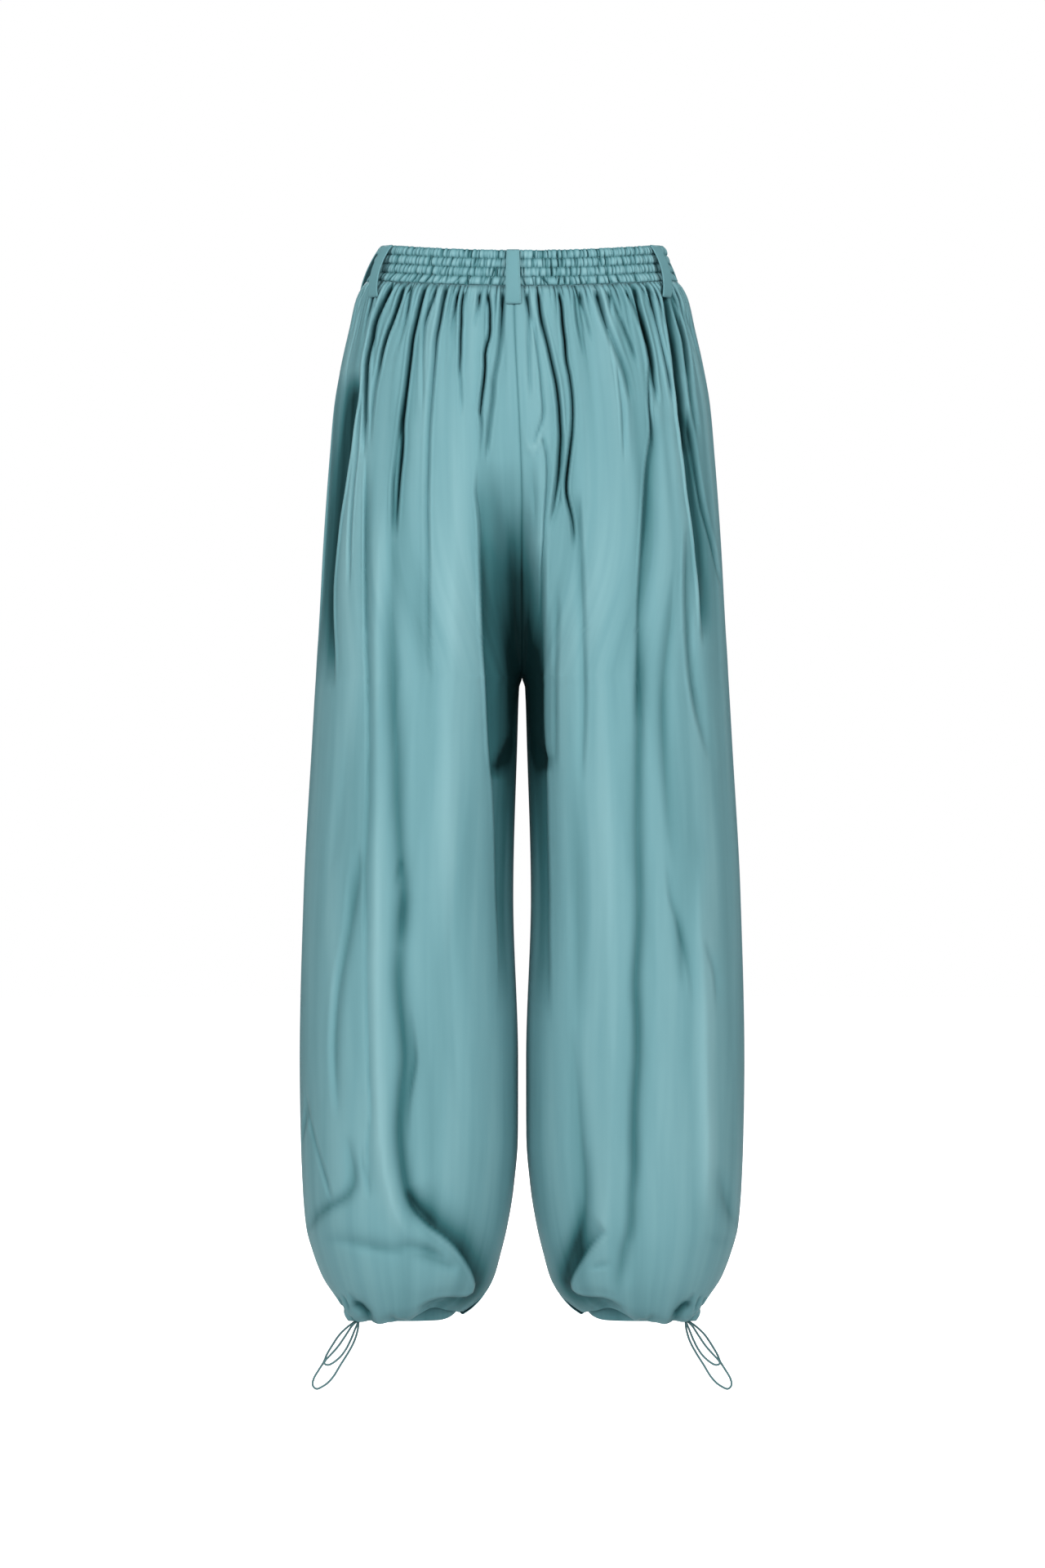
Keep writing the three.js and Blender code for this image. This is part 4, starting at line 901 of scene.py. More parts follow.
def seams_in_line(grid, side, face, heights):
    """The grid with its edges on the seams: no point past the centre seam, and none on the
    other side of the side seam."""
    away = -1 if face == "back" else 1
    above = heights > CROTCH
    seam = side * centre_seam(heights[above])
    grid[:, 0, 1] = 0
    grid[above, -1, 0] = seam
    grid[above, :, 0] = np.maximum(grid[above, :, 0], seam[:, None])
    grid[:, :, 1] = away * np.maximum(away * grid[:, :, 1], 0)
    return grid


def panel(side, face):
    """Grid of points, UV, painted shading and length of one panel, made on the wearer's right
    and mirrored for the left. The painted shading is painted shade in deep folds, along the
    seams and in the hollow between the thighs, and a painted highlight on crests."""
    heights = panel_heights()
    sizes = sizes_at(heights)
    hem_heights, hem_sizes = roll_under(ROLL_ROWS)
    heights = np.concatenate([heights, hem_heights])
    sizes = np.vstack([sizes, hem_sizes])
    count = 2 * COLUMNS[face] - 1
    shares, lengths = even_shares(heights, sizes, face, side, count)
    smooth = smooth_panel(heights, sizes, face, shares)
    normals = outward_directions(heights, sizes, face, shares, smooth)
    name = f"{face}_{'left' if side < 0 else 'right'}"
    relief = fold_relief(smooth.reshape(-1, 3), normals.reshape(-1, 3),
                         FOLDS[name], face).reshape(smooth.shape[:2])
    across = np.linspace(0, 1, count)
    fine = fine_gathers(across * lengths[0], TOP - heights)
    relief += fine * smoothstep(heights, *GATHERS_END)[:, None]
    edge = np.minimum(across, 1 - across)[None, :] * lengths[:, None]
    relief *= smoothstep(edge, 0, SEAM_FADE)
    below = (TOP - heights)[:, None]
    relief -= SEAM_SINK * np.exp(-(below / SEAM_SINK_HEIGHT) ** 2)
    depth = -relief
    relief = np.clip(relief, -SEAM_PINCH - PINCH_SLOPE * below, CREST_SLOPE * below)
    groove = np.exp(-(edge / SEAM_GROOVE_WIDTH) ** 2)
    relief -= SEAM_GROOVE * groove
    away = -1 if face == "back" else 1
    grid = smooth + unit(normals + (0, SINK_STRAIGHT * away, 0)) * relief[:, :, None]
    hollow = hollow_share(smooth, side, face)
    grid[:, :, 1] *= 1 - hollow
    grid = seams_in_line(grid, side, face, heights) * (side, 1, 1)
    down = np.concatenate([[0], np.cumsum(np.abs(np.diff(heights)))])
    # Painted shading for the colour: painted shade grows with a fold's depth, along the seam
    # grooves and in the hollow between the thighs. Below 0 it is a painted highlight where the
    # cloth stands out.
    shade = np.sign(depth) * (np.abs(depth) / FULL_SHADE) ** SHADE_POWER + SEAM_SHADE * groove
    shade = np.clip(shade, *SHADE_ENDS) + HOLLOW_SHADE * hollow ** HOLLOW_POWER
    return name, grid, uv_of(across * PANEL_WIDTH, -down), shade, down[-1]


def fine_over_coarse(rows, columns):
    """Which points of a grid are kept, and the faces between them. Below the fine rows every
    other column goes, and the row of faces where that starts has five corners each."""
    keep = np.zeros((rows, columns), bool)
    keep[:FINE_ROWS] = True
    keep[:, ::2] = True
    number = np.cumsum(keep.ravel()).reshape(rows, columns) - 1
    fine, coarse = number[:FINE_ROWS], number[FINE_ROWS:, ::2]
    quads = [np.stack([part[:-1, :-1], part[:-1, 1:], part[1:, 1:], part[1:, :-1]],
                      axis=-1).reshape(-1, 4) for part in (fine, coarse)]
    last, first = fine[-1], coarse[0]
    fives = np.stack([last[:-1:2], last[1::2], last[2::2], first[1:], first[:-1]], axis=-1)
    return keep, quads + [fives]


panels = {}
panel_grids = {}
for face in ("back", "front"):
    for side in (-1, 1):
        # depth here holds each point's painted shading: painted shade in folds, seams and the
        # hollow, and a painted highlight on crests.
        name, grid, uv, depth, length = panel(side, face)
        keep, faces = fine_over_coarse(*grid.shape[:2])
        piece = make_piece(f"{name}_panel", grid[keep], faces, uv[keep], depth[keep],
                           flip=(side > 0) == (face == "back"))
        wall = piece.modifiers.new("cloth", "SOLIDIFY")
        wall.thickness = CLOTH
        wall.offset = -1
        panels[name] = piece
        panel_grids[name] = grid
        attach(piece, "root")
        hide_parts(name)

# %% [markdown]
# ## Waistband
# The band is one ring of cloth over elastic. Four rows of stitching, the bottom one being
# the waist seam, part it into four channels of the same height. Each channel puffs out and
# is ruched on its own, so its small creases don't line up with those above or below. The
# lowest channel has larger puffs, which run on into the gathers of the panels.

# %% Waistband
BAND_LEVELS = np.array([
    (17, 134.5, 88.5), (8.5, 137.3, 90.5), (0, 139.6, 92), (-8.5, 142.2, 93),
    (-16.85, 147.5, 95)]) * MM
BAND_FULLNESS = 1.35  # the strip was this many times longer before it was ruched
BAND_WALL = 2.2 * MM
BAND_LIP = 1.3 * MM
CHANNEL_PUFF, PUFF_POWER = 1.7 * MM, 0.6
CHANNEL_ROWS = 7
BAND_COLUMNS = 1900
STITCHED_SHARE, STITCHED_SINK = 0.75, 0.4 * MM  # the creases' depth under a row of stitching
EDGE_RUFFLE, RUFFLE_LIMIT = 0.45, 2 * MM
EDGE_TURN = ((0, 1), (0.45, 0.75), (0.6, 0.4), (0.35, 0.1))  # rise in mm, share of the wall
# Painted shade in the band's creases, and a painted highlight on its puffs.
PUFF_LEVEL, PUFF_SHADE, PUFF_SHADE_ENDS = 1 * MM, 1.6 * MM, (-0.7, 1.6)
# Spacing, depth, half width and slant of the creases, in millimetres, from the top down.
CHANNEL_CREASES = (
    ((3.2, 2, 0.62, 0.5), (8, 1.4, 1.2, 1)), ((3.4, 2, 0.62, 0.8), (9, 1.4, 1.2, 1.5)),
    ((3.5, 2, 0.65, 1), (9, 1.4, 1.3, 2)), ((8.2, 3, 1, 3.6), (4.3, 1.7, 0.75, 2)))


def band_round(outer, depth, heights, angle):
    """A ring's points: x and y are those of the body's round, and the height sinks towards
    the centre of the back and of the front."""
    share = np.arcsin(np.abs(np.sin(angle))) / (np.pi / 2)
    sink = np.where(np.sin(angle) < 0, dip("back", share), dip("front", share))
    x, y = outer * power(np.cos(angle)), depth * power(np.sin(angle))
    return np.stack(np.broadcast_arrays(x, y, heights - sink), axis=-1)


def even_angles(count):
    """Angles at which the points of the band's middle ring lie at even distances."""
    angle = np.linspace(0, 2 * np.pi, 8001)
    run = run_along(band_round(BAND_LEVELS[2, 1], BAND_LEVELS[2, 2], 0, angle))
    return np.interp(np.linspace(0, run[-1], count, endpoint=False), run, angle), run[-1]


def channel_relief(creases, along, length, part):
    """Puff and creases of one channel. The puff is a half sine across it, to the power 0.6.
    Each crease slants a little and is -h exp(-((u - p)/w)^2), and reaches over part of the
    channel."""
    puff = CHANNEL_PUFF * np.sin(np.pi * part)[:, None] ** PUFF_POWER
    relief = np.zeros((len(part), len(along)))
    for spacing, depth, width, slant in np.array(creases) * MM:
        count = int(length / spacing)
        places = (np.arange(count) + draw.uniform(0.05, 0.95, count)) * spacing
        depths = depth * draw.uniform(0.25, 1.5, count)
        widths = width * draw.uniform(0.7, 1.5, count)
        slants = slant * draw.normal(0.5, 0.6, count) * np.where(places < length / 2, 1, -1)
        middles = draw.uniform(0, 1, count)
        spans = draw.uniform(0.45, 1.6, count)
        for row, at in enumerate(part):
            offset = along[:, None] - places - slants * (at - 0.5)
            offset = (offset + length / 2) % length - length / 2
            reach = np.exp(-((at - middles) / spans) ** 2)
            relief[row] -= (depths * reach * np.exp(-(offset / widths) ** 2)).sum(1)
    return puff + relief


angles, band_length = even_angles(BAND_COLUMNS)
along = np.linspace(0, band_length, BAND_COLUMNS, endpoint=False)
rings, reliefs = [], []
for channel, creases in enumerate(CHANNEL_CREASES):
    part = np.linspace(0, 1, CHANNEL_ROWS, endpoint=False)
    relief = channel_relief(creases, along, band_length, part)
    relief[0] = relief[0] * STITCHED_SHARE - STITCHED_SINK * (channel > 0)
    heights = mix(BAND_LEVELS[channel, 0], BAND_LEVELS[channel + 1, 0], part)
    table = run_smoothly(-BAND_LEVELS[:, 0], BAND_LEVELS[:, 1:], -heights)
    if channel == 0:
        ruffle = EDGE_RUFFLE * np.clip(relief[1] - CHANNEL_PUFF, -RUFFLE_LIMIT, 0)
    for row, (size, height, out) in enumerate(zip(table, heights, relief)):
        sink = ruffle if channel == 0 and row < 2 else 0
        rings.append(band_round(size[0] + out, size[1] + out, height + sink, angles))
        reliefs.append(out)

# The inside, from the waist seam up to the top edge, is smooth.
low, high = BAND_LEVELS[-1], BAND_LEVELS[0]
inner = [(*low, -BAND_LIP), (*low, -BAND_WALL)]
inner += [(*level, -BAND_WALL) for level in BAND_LEVELS[[3, 2, 1]]]
inner += [(high[0] + rise * MM, high[1], high[2], -BAND_WALL * share) for rise, share in EDGE_TURN]
for height, outer, depth, out in inner:
    sink = ruffle if height > high[0] - MM else 0
    rings.append(band_round(outer + out, depth + out, height + sink, angles))
    reliefs.append(np.zeros(BAND_COLUMNS))
band_grid = np.array(rings + rings[:1])
around = np.linspace(0, BAND_FULLNESS * band_length, BAND_COLUMNS + 1)
band_uv = uv_of(around, -run_along(band_grid[:, 0]))
# The band's painted shading: painted shade in its creases and a painted highlight on the crests of
# its puffs. The inside has none.
band_painted_shading = np.clip((PUFF_LEVEL - np.array(reliefs)) / PUFF_SHADE, *PUFF_SHADE_ENDS)
band_painted_shading[len(CHANNEL_CREASES) * CHANNEL_ROWS:] = 0
waistband = grid_piece("waistband_ruched", band_grid, band_uv, band_painted_shading, ring=True, closed=True)
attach(waistband, "root")
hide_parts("waistband")
print("waistband round in mm:", round(band_length / MM),
      "faces:", len(waistband.data.polygons))

# %% [markdown]
# ## Belt loops
# A belt loop is a strip of folded cloth, pressed flat. It starts at the top edge of the
# band, stands out a little and is sewn to the body below the waist seam.

# %% Belt loops
LOOP_WALL = 1.5 * MM
LOOP_ROWS, LOOP_SIDES = 36, 28
LOOP_CLOTH = (28 * MM, 62 * MM)  # the cloth of a loop, round it and along it
LOOP_EDGE = 0.35  # the power that makes its section a flat band with rounded edges
BOW_POWER = 0.7
FOOT_TAPER, FOOT_FROM, FOOT_LENGTH = 0.08, 0.965, 0.035
# Side, face, top, top width, seat, foot, foot height, foot width, foot rise and bow. The
# foot's rise above the smooth body is less where it is sewn down into a gather.
LOOPS = {
    "belt_loop_back_centre": (-1, "back", 8.3, 12.2, 2.4, 8, -35, 15, 1.6, 4.8),
    "belt_loop_back_left": (-1, "back", 123, 12.5, 2.1, 138, -32, 13, 1.6, 6.9),
    "belt_loop_back_right": (1, "back", 122, 12.5, 1.6, 137, -32, 13, -1.7, 6.9),
    "belt_loop_front_left": (-1, "front", 131, 12.5, 1.6, 151, -36, 13, 1.6, 5.4),
    "belt_loop_front_right": (1, "front", 128, 12.5, 1.6, 147, -36, 13, 1.6, 5.4),
}


def belt_loop(side, face, top, top_width, seat, foot, foot_height, foot_width, rise, bow):
    """Sections of a loop: a flat round, whose sine and cosine have the power 0.35, carried
    along a line from the top of the band to the body. The line bows outward by a half sine
    to the power 0.7."""
    away = -1 if face == "back" else 1
    high = BAND_LEVELS[0]
    angle = away * np.arccos((top * MM / high[1]) ** (1 / FULLNESS))
    out = seat * MM + MM
    start = band_round(high[1] + out, high[2] + out, high[0] - 0.3 * MM, angle)
    end = on_body(np.array([[foot, foot_height]]) * MM, face)[0]
    outward = unit(np.array([start[0] / high[1] ** 2, start[1] / high[2] ** 2, 0]))
    end = end + outward * rise * MM
    t = np.linspace(0, 1, LOOP_ROWS)[:, None]
    path = mix(start, end, t) + outward * bow * MM * np.sin(np.pi * t) ** BOW_POWER
    across = np.array([-outward[1], outward[0], 0])
    along = unit(np.gradient(path, axis=0))
    thick = unit(np.cross(across[None, :], along))
    width = mix(top_width, foot_width, t) * MM / 2
    width = width * (1 - FOOT_TAPER * np.maximum(t - FOOT_FROM, 0) / FOOT_LENGTH)
    turn = np.linspace(0, 2 * np.pi, LOOP_SIDES, endpoint=False)
    wide, deep = (np.sign(wave) * np.abs(wave) ** LOOP_EDGE
                  for wave in (np.cos(turn), np.sin(turn)))
    rings = (path[:, None] + across * (width * wide)[:, :, None]
             + thick[:, None] * (LOOP_WALL / 2 * deep)[None, :, None])
    return capped(rings, path) * (side, 1, 1), path, across, thick, width


loops = {}
loop_frames = {}
for name, row in LOOPS.items():
    rings, path, across, thick, width = belt_loop(*row)
    uv = uv_of(np.linspace(0, LOOP_CLOTH[0], LOOP_SIDES + 1),
               np.linspace(0, LOOP_CLOTH[1], len(rings)))
    piece = grid_piece(f"{name}_strip", rings, uv, np.zeros(rings.shape[:2]), ring=True,
                       flip=row[0] > 0)
    loops[name] = piece
    loop_frames[name] = (row[0], path, across, thick, width)
    length = float(np.linalg.norm(np.diff(path, axis=0), axis=1).sum())
    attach(piece, "root")
    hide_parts(name)
    print(name, "length in mm:", round(length / MM, 1))

# %% [markdown]
# ## Ankle tunnels
# The cord runs in a narrow tunnel below the rolled hem. The pulled cord gathers it into
# small upright folds, which are seen at the outer corner of each hem.

# %% Ankle tunnels
CASING_INSET, CASING_RISE, CASING_WALL = 1 * MM, 1.2 * MM, 2.2 * MM
CASING_HEIGHT, CASING_FRONT_DROP = 11.7 * MM, 3 * MM
CASING_COLUMNS = 300
CASING_ROWS = 9
GATHERS_FADE = 0.3
# At the side seam the tunnel reaches out, and its edges hang lower.
CORNER_REACH, CORNER_WIDTH, CORNER_TOP, CORNER_BOTTOM = 9 * MM, 0.13, 2 * MM, 4 * MM
INNER_RISE, INNER_FROM = 6 * MM, 0.72
# Painted shade under the caught-up hem behind, and in the tunnel's dents and gathers.
UNDER_SHADE, UNDER_WIDTH = 0.9 * MM, 0.2
TUNNEL_SHADE = 1.5 * MM
CASING_GATHERS = ((5.2, 1.3, 1.1), (9, 0.8, 2))  # spacing, depth, half width
DENTS = ((0.235, 11, 0.028), (0.42, 4, 0.018))  # share of the half round, depth, half width


def ankle_tunnel(side):
    """A closed ring under the hem. Outside it has gathers and is fuller halfway down, by a
    half sine. Behind it has dents of the form exp(-((share - s)/w)^2), between which the
    hem's edge stands out in lips. Also gives its length round, and each column's painted
    shade: darker in the dents and gathers, and under the caught-up hem behind."""
    middle, reach = (HEM[1] + HEM[2]) / 2, (HEM[1] - HEM[2]) / 2
    angle = np.linspace(0, 2 * np.pi, CASING_COLUMNS, endpoint=False)
    behind = np.sin(angle) < 0
    round_length = 2 * np.pi * np.sqrt((reach ** 2 + HEM[3] ** 2) / 2)
    along = angle / (2 * np.pi) * round_length
    gathers = np.zeros(CASING_COLUMNS)
    for spacing, depth, width in np.array(CASING_GATHERS) * MM:
        gathers += random_valleys(round_length, spacing, depth, width, along)
    share = np.arccos(np.cos(angle)) / np.pi
    gathers *= np.exp(-(share / GATHERS_FADE) ** 2)
    dent = sum(depth * MM * np.exp(-((share - at) / wide) ** 2) for at, depth, wide in DENTS)
    dent = np.where(behind, dent, 0)
    corner = np.exp(-(share / CORNER_WIDTH) ** 2)
    lift = HEM[5] * HEM_LIFT * np.exp(-((share - HEM_LIFT_AT) / HEM_LIFT_SPREAD) ** 2)
    top = HEM[0] - 0.3 * MM + np.where(behind, lift, 0) - CORNER_TOP * corner
    front_drop = CASING_FRONT_DROP * np.maximum(np.sin(angle), 0)
    bottom = HEM[0] - CASING_HEIGHT - front_drop - CORNER_BOTTOM * corner
    bottom = bottom + INNER_RISE * smoothstep(share, INNER_FROM, 1)
    rows = []
    for t in np.linspace(0, 1, CASING_ROWS):
        full = np.sin(np.pi * t)
        out = -CASING_INSET - 0.4 * MM + gathers * (0.5 + 0.5 * full) + MM * full
        out = out + CORNER_REACH * corner * (1 - 0.35 * t * t) - dent
        rows.append((out, mix(top, bottom, t)))
    inside = -CASING_INSET - CASING_RISE - CASING_WALL - dent
    rows.append((inside * 0.7 - dent * 0.3, bottom - 0.4 * MM))
    rows += [(inside, mix(bottom, top, t)) for t in (0, 0.5, 1)]
    grid = np.stack([np.stack([side * (middle + (reach + out) * power(np.cos(angle))),
                               (HEM[3] + out) * power(np.sin(angle)), height], axis=-1)
                     for out, height in rows + rows[:1]])
    # Painted shade under the hem where it is caught up behind.
    under = UNDER_SHADE * np.exp(-((share - HEM_LIFT_AT) / UNDER_WIDTH) ** 2)
    return grid, round_length, dent - gathers + np.where(behind, under, 0)


casings = {}
for ankle, side in (("left", -1), ("right", 1)):
    grid, round_length, painted_tunnel_shade = ankle_tunnel(side)
    uv = uv_of(np.linspace(0, 1.4 * round_length, CASING_COLUMNS + 1),
               np.linspace(0, 30 * MM, len(grid)))
    painted_shading = np.tile(np.clip(painted_tunnel_shade / TUNNEL_SHADE, 0, SHADE_ENDS[1]), len(grid) - 1)
    name = f"hem_casing_{ankle}"
    piece = grid_piece(f"{name}_tunnel", grid, uv, painted_shading, ring=True, closed=True, flip=side < 0)
    casings[name] = piece
    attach(piece, "root")
    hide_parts(name)
    print(name, "round in mm:", round(round_length / MM))

# %% [markdown]
# ## Stitching
# A stitch is a small dash that lies on the cloth: a box with a narrower top. Rows of them
# run round the band between its channels, along both edges of each belt loop and down the
# centre seam behind.

# %% Stitches
STITCH = (1.7 * MM, 0.42 * MM, 0.3 * MM)
SEAM_STITCH = (1.3 * MM, 0.4 * MM, 0.3 * MM)
BAND_SPACING, LOOP_SPACING, SEAM_SPACING = 2.6 * MM, 2.4 * MM, 2.7 * MM
STITCH_TOP = 0.7
BAND_HALF_WIDTHS = (0.14, 0.092)
LOOP_MARGIN = 1.3 * MM
SEAM_MARGIN = 1.1 * MM
SEAM_FOOT = -380 * MM


def stitches(path, normals, spacing, size=STITCH):
    """Dashes at even steps along a path, each turned with it and lying on the normals."""
    run = run_along(path)
    at = np.arange(spacing / 2, run[-1], spacing)
    place = np.stack([np.interp(at, run, column) for column in path.T], axis=1)
    normal = unit(np.stack([np.interp(at, run, column) for column in normals.T], axis=1))
    ahead = np.stack([np.interp(at + spacing / 4, run, column) for column in path.T], axis=1)
    along = unit(ahead - place + 1e-9)
    across = np.cross(normal, along)
    length, width, height = size
    base = ((-1, -1), (1, -1), (1, 1), (-1, 1))
    box = np.array([(a, b, c) for c in (-1, 1) for a, b in base], float)
    box[4:, :2] *= STITCH_TOP
    half = (box * (length / 2, width / 2, height / 2))[None]
    points = (place[:, None] + half[:, :, :1] * along[:, None]
              + half[:, :, 1:2] * across[:, None] + half[:, :, 2:] * normal[:, None])
    sides = np.array([(0, 3, 2, 1), (4, 5, 6, 7), (0, 1, 5, 4), (1, 2, 6, 5), (2, 3, 7, 6),
                      (3, 0, 4, 7)])
    faces = (np.arange(len(place))[:, None, None] * 8 + sides[None]).reshape(-1, 4)
    return points.reshape(-1, 3), faces


def join_parts(parts):
    """Several sets of points and faces as one."""
    starts = np.cumsum([0] + [len(points) for points, _ in parts[:-1]])
    return (np.vstack([points for points, _ in parts]),
            np.vstack([faces + start for (_, faces), start in zip(parts, starts)]))


parts = []
for channel in (1, 2, 3):
    ring = band_grid[channel * CHANNEL_ROWS]
    ring = np.vstack([ring, ring[:1]])
    outward = unit(ring * (1 / BAND_HALF_WIDTHS[0] ** 2, 1 / BAND_HALF_WIDTHS[1] ** 2, 0))
    parts.append(stitches(ring + outward * 0.12 * MM, outward, BAND_SPACING))
band_stitches = make_piece("waistband_stitches", *join_parts(parts))

parts = []
for side, path, across, thick, width in loop_frames.values():
    outward = thick * np.sign((thick * path).sum(1))[:, None]
    surface = outward * LOOP_WALL * 0.5
    mirror = (side, 1, 1)
    for edge in (-1, 1):
        line = path + edge * across * (width - LOOP_MARGIN) + surface
        parts.append(stitches(line * mirror, outward * mirror, LOOP_SPACING))
    ends = np.linspace(-0.8, 0.8, 12)[:, None]
    line = path[-2] + ends * across * width[-2] + surface[-2]
    normals = np.repeat(outward[-2:-1] * mirror, len(ends), 0)
    parts.append(stitches(line * mirror, normals, LOOP_SPACING))
loop_stitches = make_piece("belt_loop_stitches", *join_parts(parts))

# The line runs just beside the seam, and lies as deep as the panel on its other side.
right, left = panel_grids["back_right"], panel_grids["back_left"]
rows = right[:, -1, 2] > SEAM_FOOT
line = right[rows, -1] - (SEAM_MARGIN, 0, 0)
line[:, 1] = left[rows, -2, 1]
outward = np.tile((0.0, -1.0, 0.0), (len(line), 1))
points, faces = stitches(line + outward * 0.15 * MM, outward, SEAM_SPACING, SEAM_STITCH)
seam_stitches = make_piece("centre_seam_stitches", points, faces)
for piece, material_slot in ((band_stitches, "waistband_cloth"), (loop_stitches, "loop_cloth"),
                             (seam_stitches, "satin_cloth")):
    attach(piece, "root")
    print(piece.name, "faces:", len(piece.data.polygons))

# %% [markdown]
# ## Finishes
# All the cloth is the same satin in a greyed teal. Two effects are node groups: the weave,
# which is a fine relief of long floats, and the tone, which is the soft streaks that run
# with the threads.

# %% Shader groups
def new_group(name, inputs, outputs):
    """An empty shader node group with named float, colour or vector sockets."""
    group = bpy.data.node_groups.new(name, "ShaderNodeTree")
    for socket, kind, value in inputs:
        made = group.interface.new_socket(socket, in_out="INPUT", socket_type=kind)
        if value is not None:
            made.default_value = value
    for socket, kind in outputs:
        group.interface.new_socket(socket, in_out="OUTPUT", socket_type=kind)
    return group, group.nodes.new("NodeGroupInput"), group.nodes.new("NodeGroupOutput")


def math(tree, operation, *values):
    """A Math node's output. A value is a number or another node's output."""
    node = tree.nodes.new("ShaderNodeMath")
    node.operation = operation
    for socket, value in zip(node.inputs, values):
        if isinstance(value, (int, float)):
            socket.default_value = value
        else:
            tree.links.new(value, socket)
    return node.outputs[0]


def weave_group():
    """Relief of satin from the UV in metres: warp threads side by side, |sin(pi u n)|, under
    which the weft shows in a slanting pattern every fifth thread."""
    group, inputs, outputs = new_group(
        "satin_weave", [("UV", "NodeSocketVector", None), ("Threads", "NodeSocketFloat", 3000.0)],
        [("Height", "NodeSocketFloat")])
    parts = group.nodes.new("ShaderNodeSeparateXYZ")
    group.links.new(inputs.outputs["UV"], parts.inputs[0])
    warp = math(group, "MULTIPLY", parts.outputs[0], inputs.outputs["Threads"])
    weft = math(group, "MULTIPLY", parts.outputs[1], inputs.outputs["Threads"])
    slant = math(group, "ADD", math(group, "MULTIPLY", weft, 0.2),
                 math(group, "MULTIPLY", warp, 0.4))
    ribs = math(group, "ABSOLUTE", math(group, "SINE", math(group, "MULTIPLY", warp, np.pi)))
    floats = math(group, "ABSOLUTE", math(group, "SINE", math(group, "MULTIPLY", slant, np.pi)))
    group.links.new(math(group, "ADD", math(group, "MULTIPLY", ribs, 0.6),
                         math(group, "MULTIPLY", floats, 0.4)), outputs.inputs["Height"])
    return group


def tone_group():
    """Soft streaks along the warp: noise that is stretched along the cloth, at two sizes."""
    group, inputs, outputs = new_group(
        "cloth_tone", [("UV", "NodeSocketVector", None)], [("Tone", "NodeSocketFloat")])
    total = None
    for across, along, share in ((90, 6, 0.12), (24, 2.2, 0.88)):
        scaled = group.nodes.new("ShaderNodeVectorMath")
        scaled.operation = "MULTIPLY"
        scaled.inputs[1].default_value = (across, along, 1)
        group.links.new(inputs.outputs["UV"], scaled.inputs[0])
        noise = group.nodes.new("ShaderNodeTexNoise")
        noise.inputs["Scale"].default_value = 1
        noise.inputs["Detail"].default_value = 3
        group.links.new(scaled.outputs[0], noise.inputs["Vector"])
        part = math(group, "MULTIPLY", noise.outputs[0], share)
        total = part if total is None else math(group, "ADD", total, part)
    group.links.new(total, outputs.inputs["Tone"])
    return group


satin_weave = weave_group()
cloth_tone = tone_group()
print("groups:", satin_weave.name, cloth_tone.name)

# %% [markdown]
# Each material adds its own colour and gloss to the groups. The painted shading kept on the
# mesh picks the base colour on a ramp: painted shade, down to near black, in the deep folds
# and the hollow, and a painted highlight, paler than the teal, on the crests. The thread and
# the cord are a little darker than the cloth.

# %% Materials
# Four colours from the bottom of a deep fold to a crest: two of painted shade, the cloth's
# own teal and a painted highlight, and where they lie on the ramp.
CLOTH_SHADE_TO_HIGHLIGHT = ((0.006, 0.024, 0.026), (0.045, 0.150, 0.165),
                 (0.156, 0.328, 0.360), (0.285, 0.49, 0.52))
DEEP_AT, MIDDLE_AT = 0.3, 0.65
PAINTED_SHADING_STEP, STREAKS = -0.3, 0.58
BRAID_TURN = 1.4 * MM


def cloth_material(name, shade_to_highlight, roughness, threads=3000.0, sheen=0.02, bump=0.12):
    """Satin: the base colour goes from deep painted shade to a pale painted highlight with the
    painted shading kept on the mesh, and lighter or darker with the tone.
    """
    material = bpy.data.materials.new(name)
    material.use_nodes = True
    tree = material.node_tree
    shader = tree.nodes["Principled BSDF"]
    place = tree.nodes.new("ShaderNodeUVMap")
    place.uv_map = "cloth"
    tone = tree.nodes.new("ShaderNodeGroup")
    tone.node_tree = cloth_tone
    weave = tree.nodes.new("ShaderNodeGroup")
    weave.node_tree = satin_weave
    weave.inputs["Threads"].default_value = threads
    for group in (tone, weave):
        tree.links.new(place.outputs[0], group.inputs["UV"])
    # Painted shade and painted highlight: the mesh's painted shading moves the colour along the
    # ramp.
    painted_shading = tree.nodes.new("ShaderNodeAttribute")
    painted_shading.attribute_name = "painted_shading"
    deep = math(tree, "MULTIPLY", painted_shading.outputs["Fac"], PAINTED_SHADING_STEP)
    streaks = math(tree, "MULTIPLY", math(tree, "SUBTRACT", tone.outputs["Tone"], 0.5), STREAKS)
    level = math(tree, "ADD", math(tree, "ADD", deep, streaks), MIDDLE_AT)
    ramp = tree.nodes.new("ShaderNodeValToRGB")
    ramp.color_ramp.elements[0].color = (*shade_to_highlight[0], 1)
    ramp.color_ramp.elements[1].color = (*shade_to_highlight[3], 1)
    ramp.color_ramp.elements.new(DEEP_AT).color = (*shade_to_highlight[1], 1)
    ramp.color_ramp.elements.new(MIDDLE_AT).color = (*shade_to_highlight[2], 1)
    tree.links.new(level, ramp.inputs[0])
    tree.links.new(ramp.outputs[0], shader.inputs["Base Color"])
    rough = math(tree, "MULTIPLY_ADD", tone.outputs["Tone"], 0.12, roughness - 0.06)
    tree.links.new(rough, shader.inputs["Roughness"])
    relief = tree.nodes.new("ShaderNodeBump")
    relief.inputs["Strength"].default_value = bump
    relief.inputs["Distance"].default_value = 0.0001
    tree.links.new(weave.outputs["Height"], relief.inputs["Height"])
    tree.links.new(relief.outputs[0], shader.inputs["Normal"])
    shader.inputs["Sheen Weight"].default_value = sheen
    shader.inputs["Sheen Roughness"].default_value = 0.35
    shader.inputs["Sheen Tint"].default_value = (0.75, 0.92, 0.95, 1)
    shader.inputs["Specular IOR Level"].default_value = 0.04
    return material


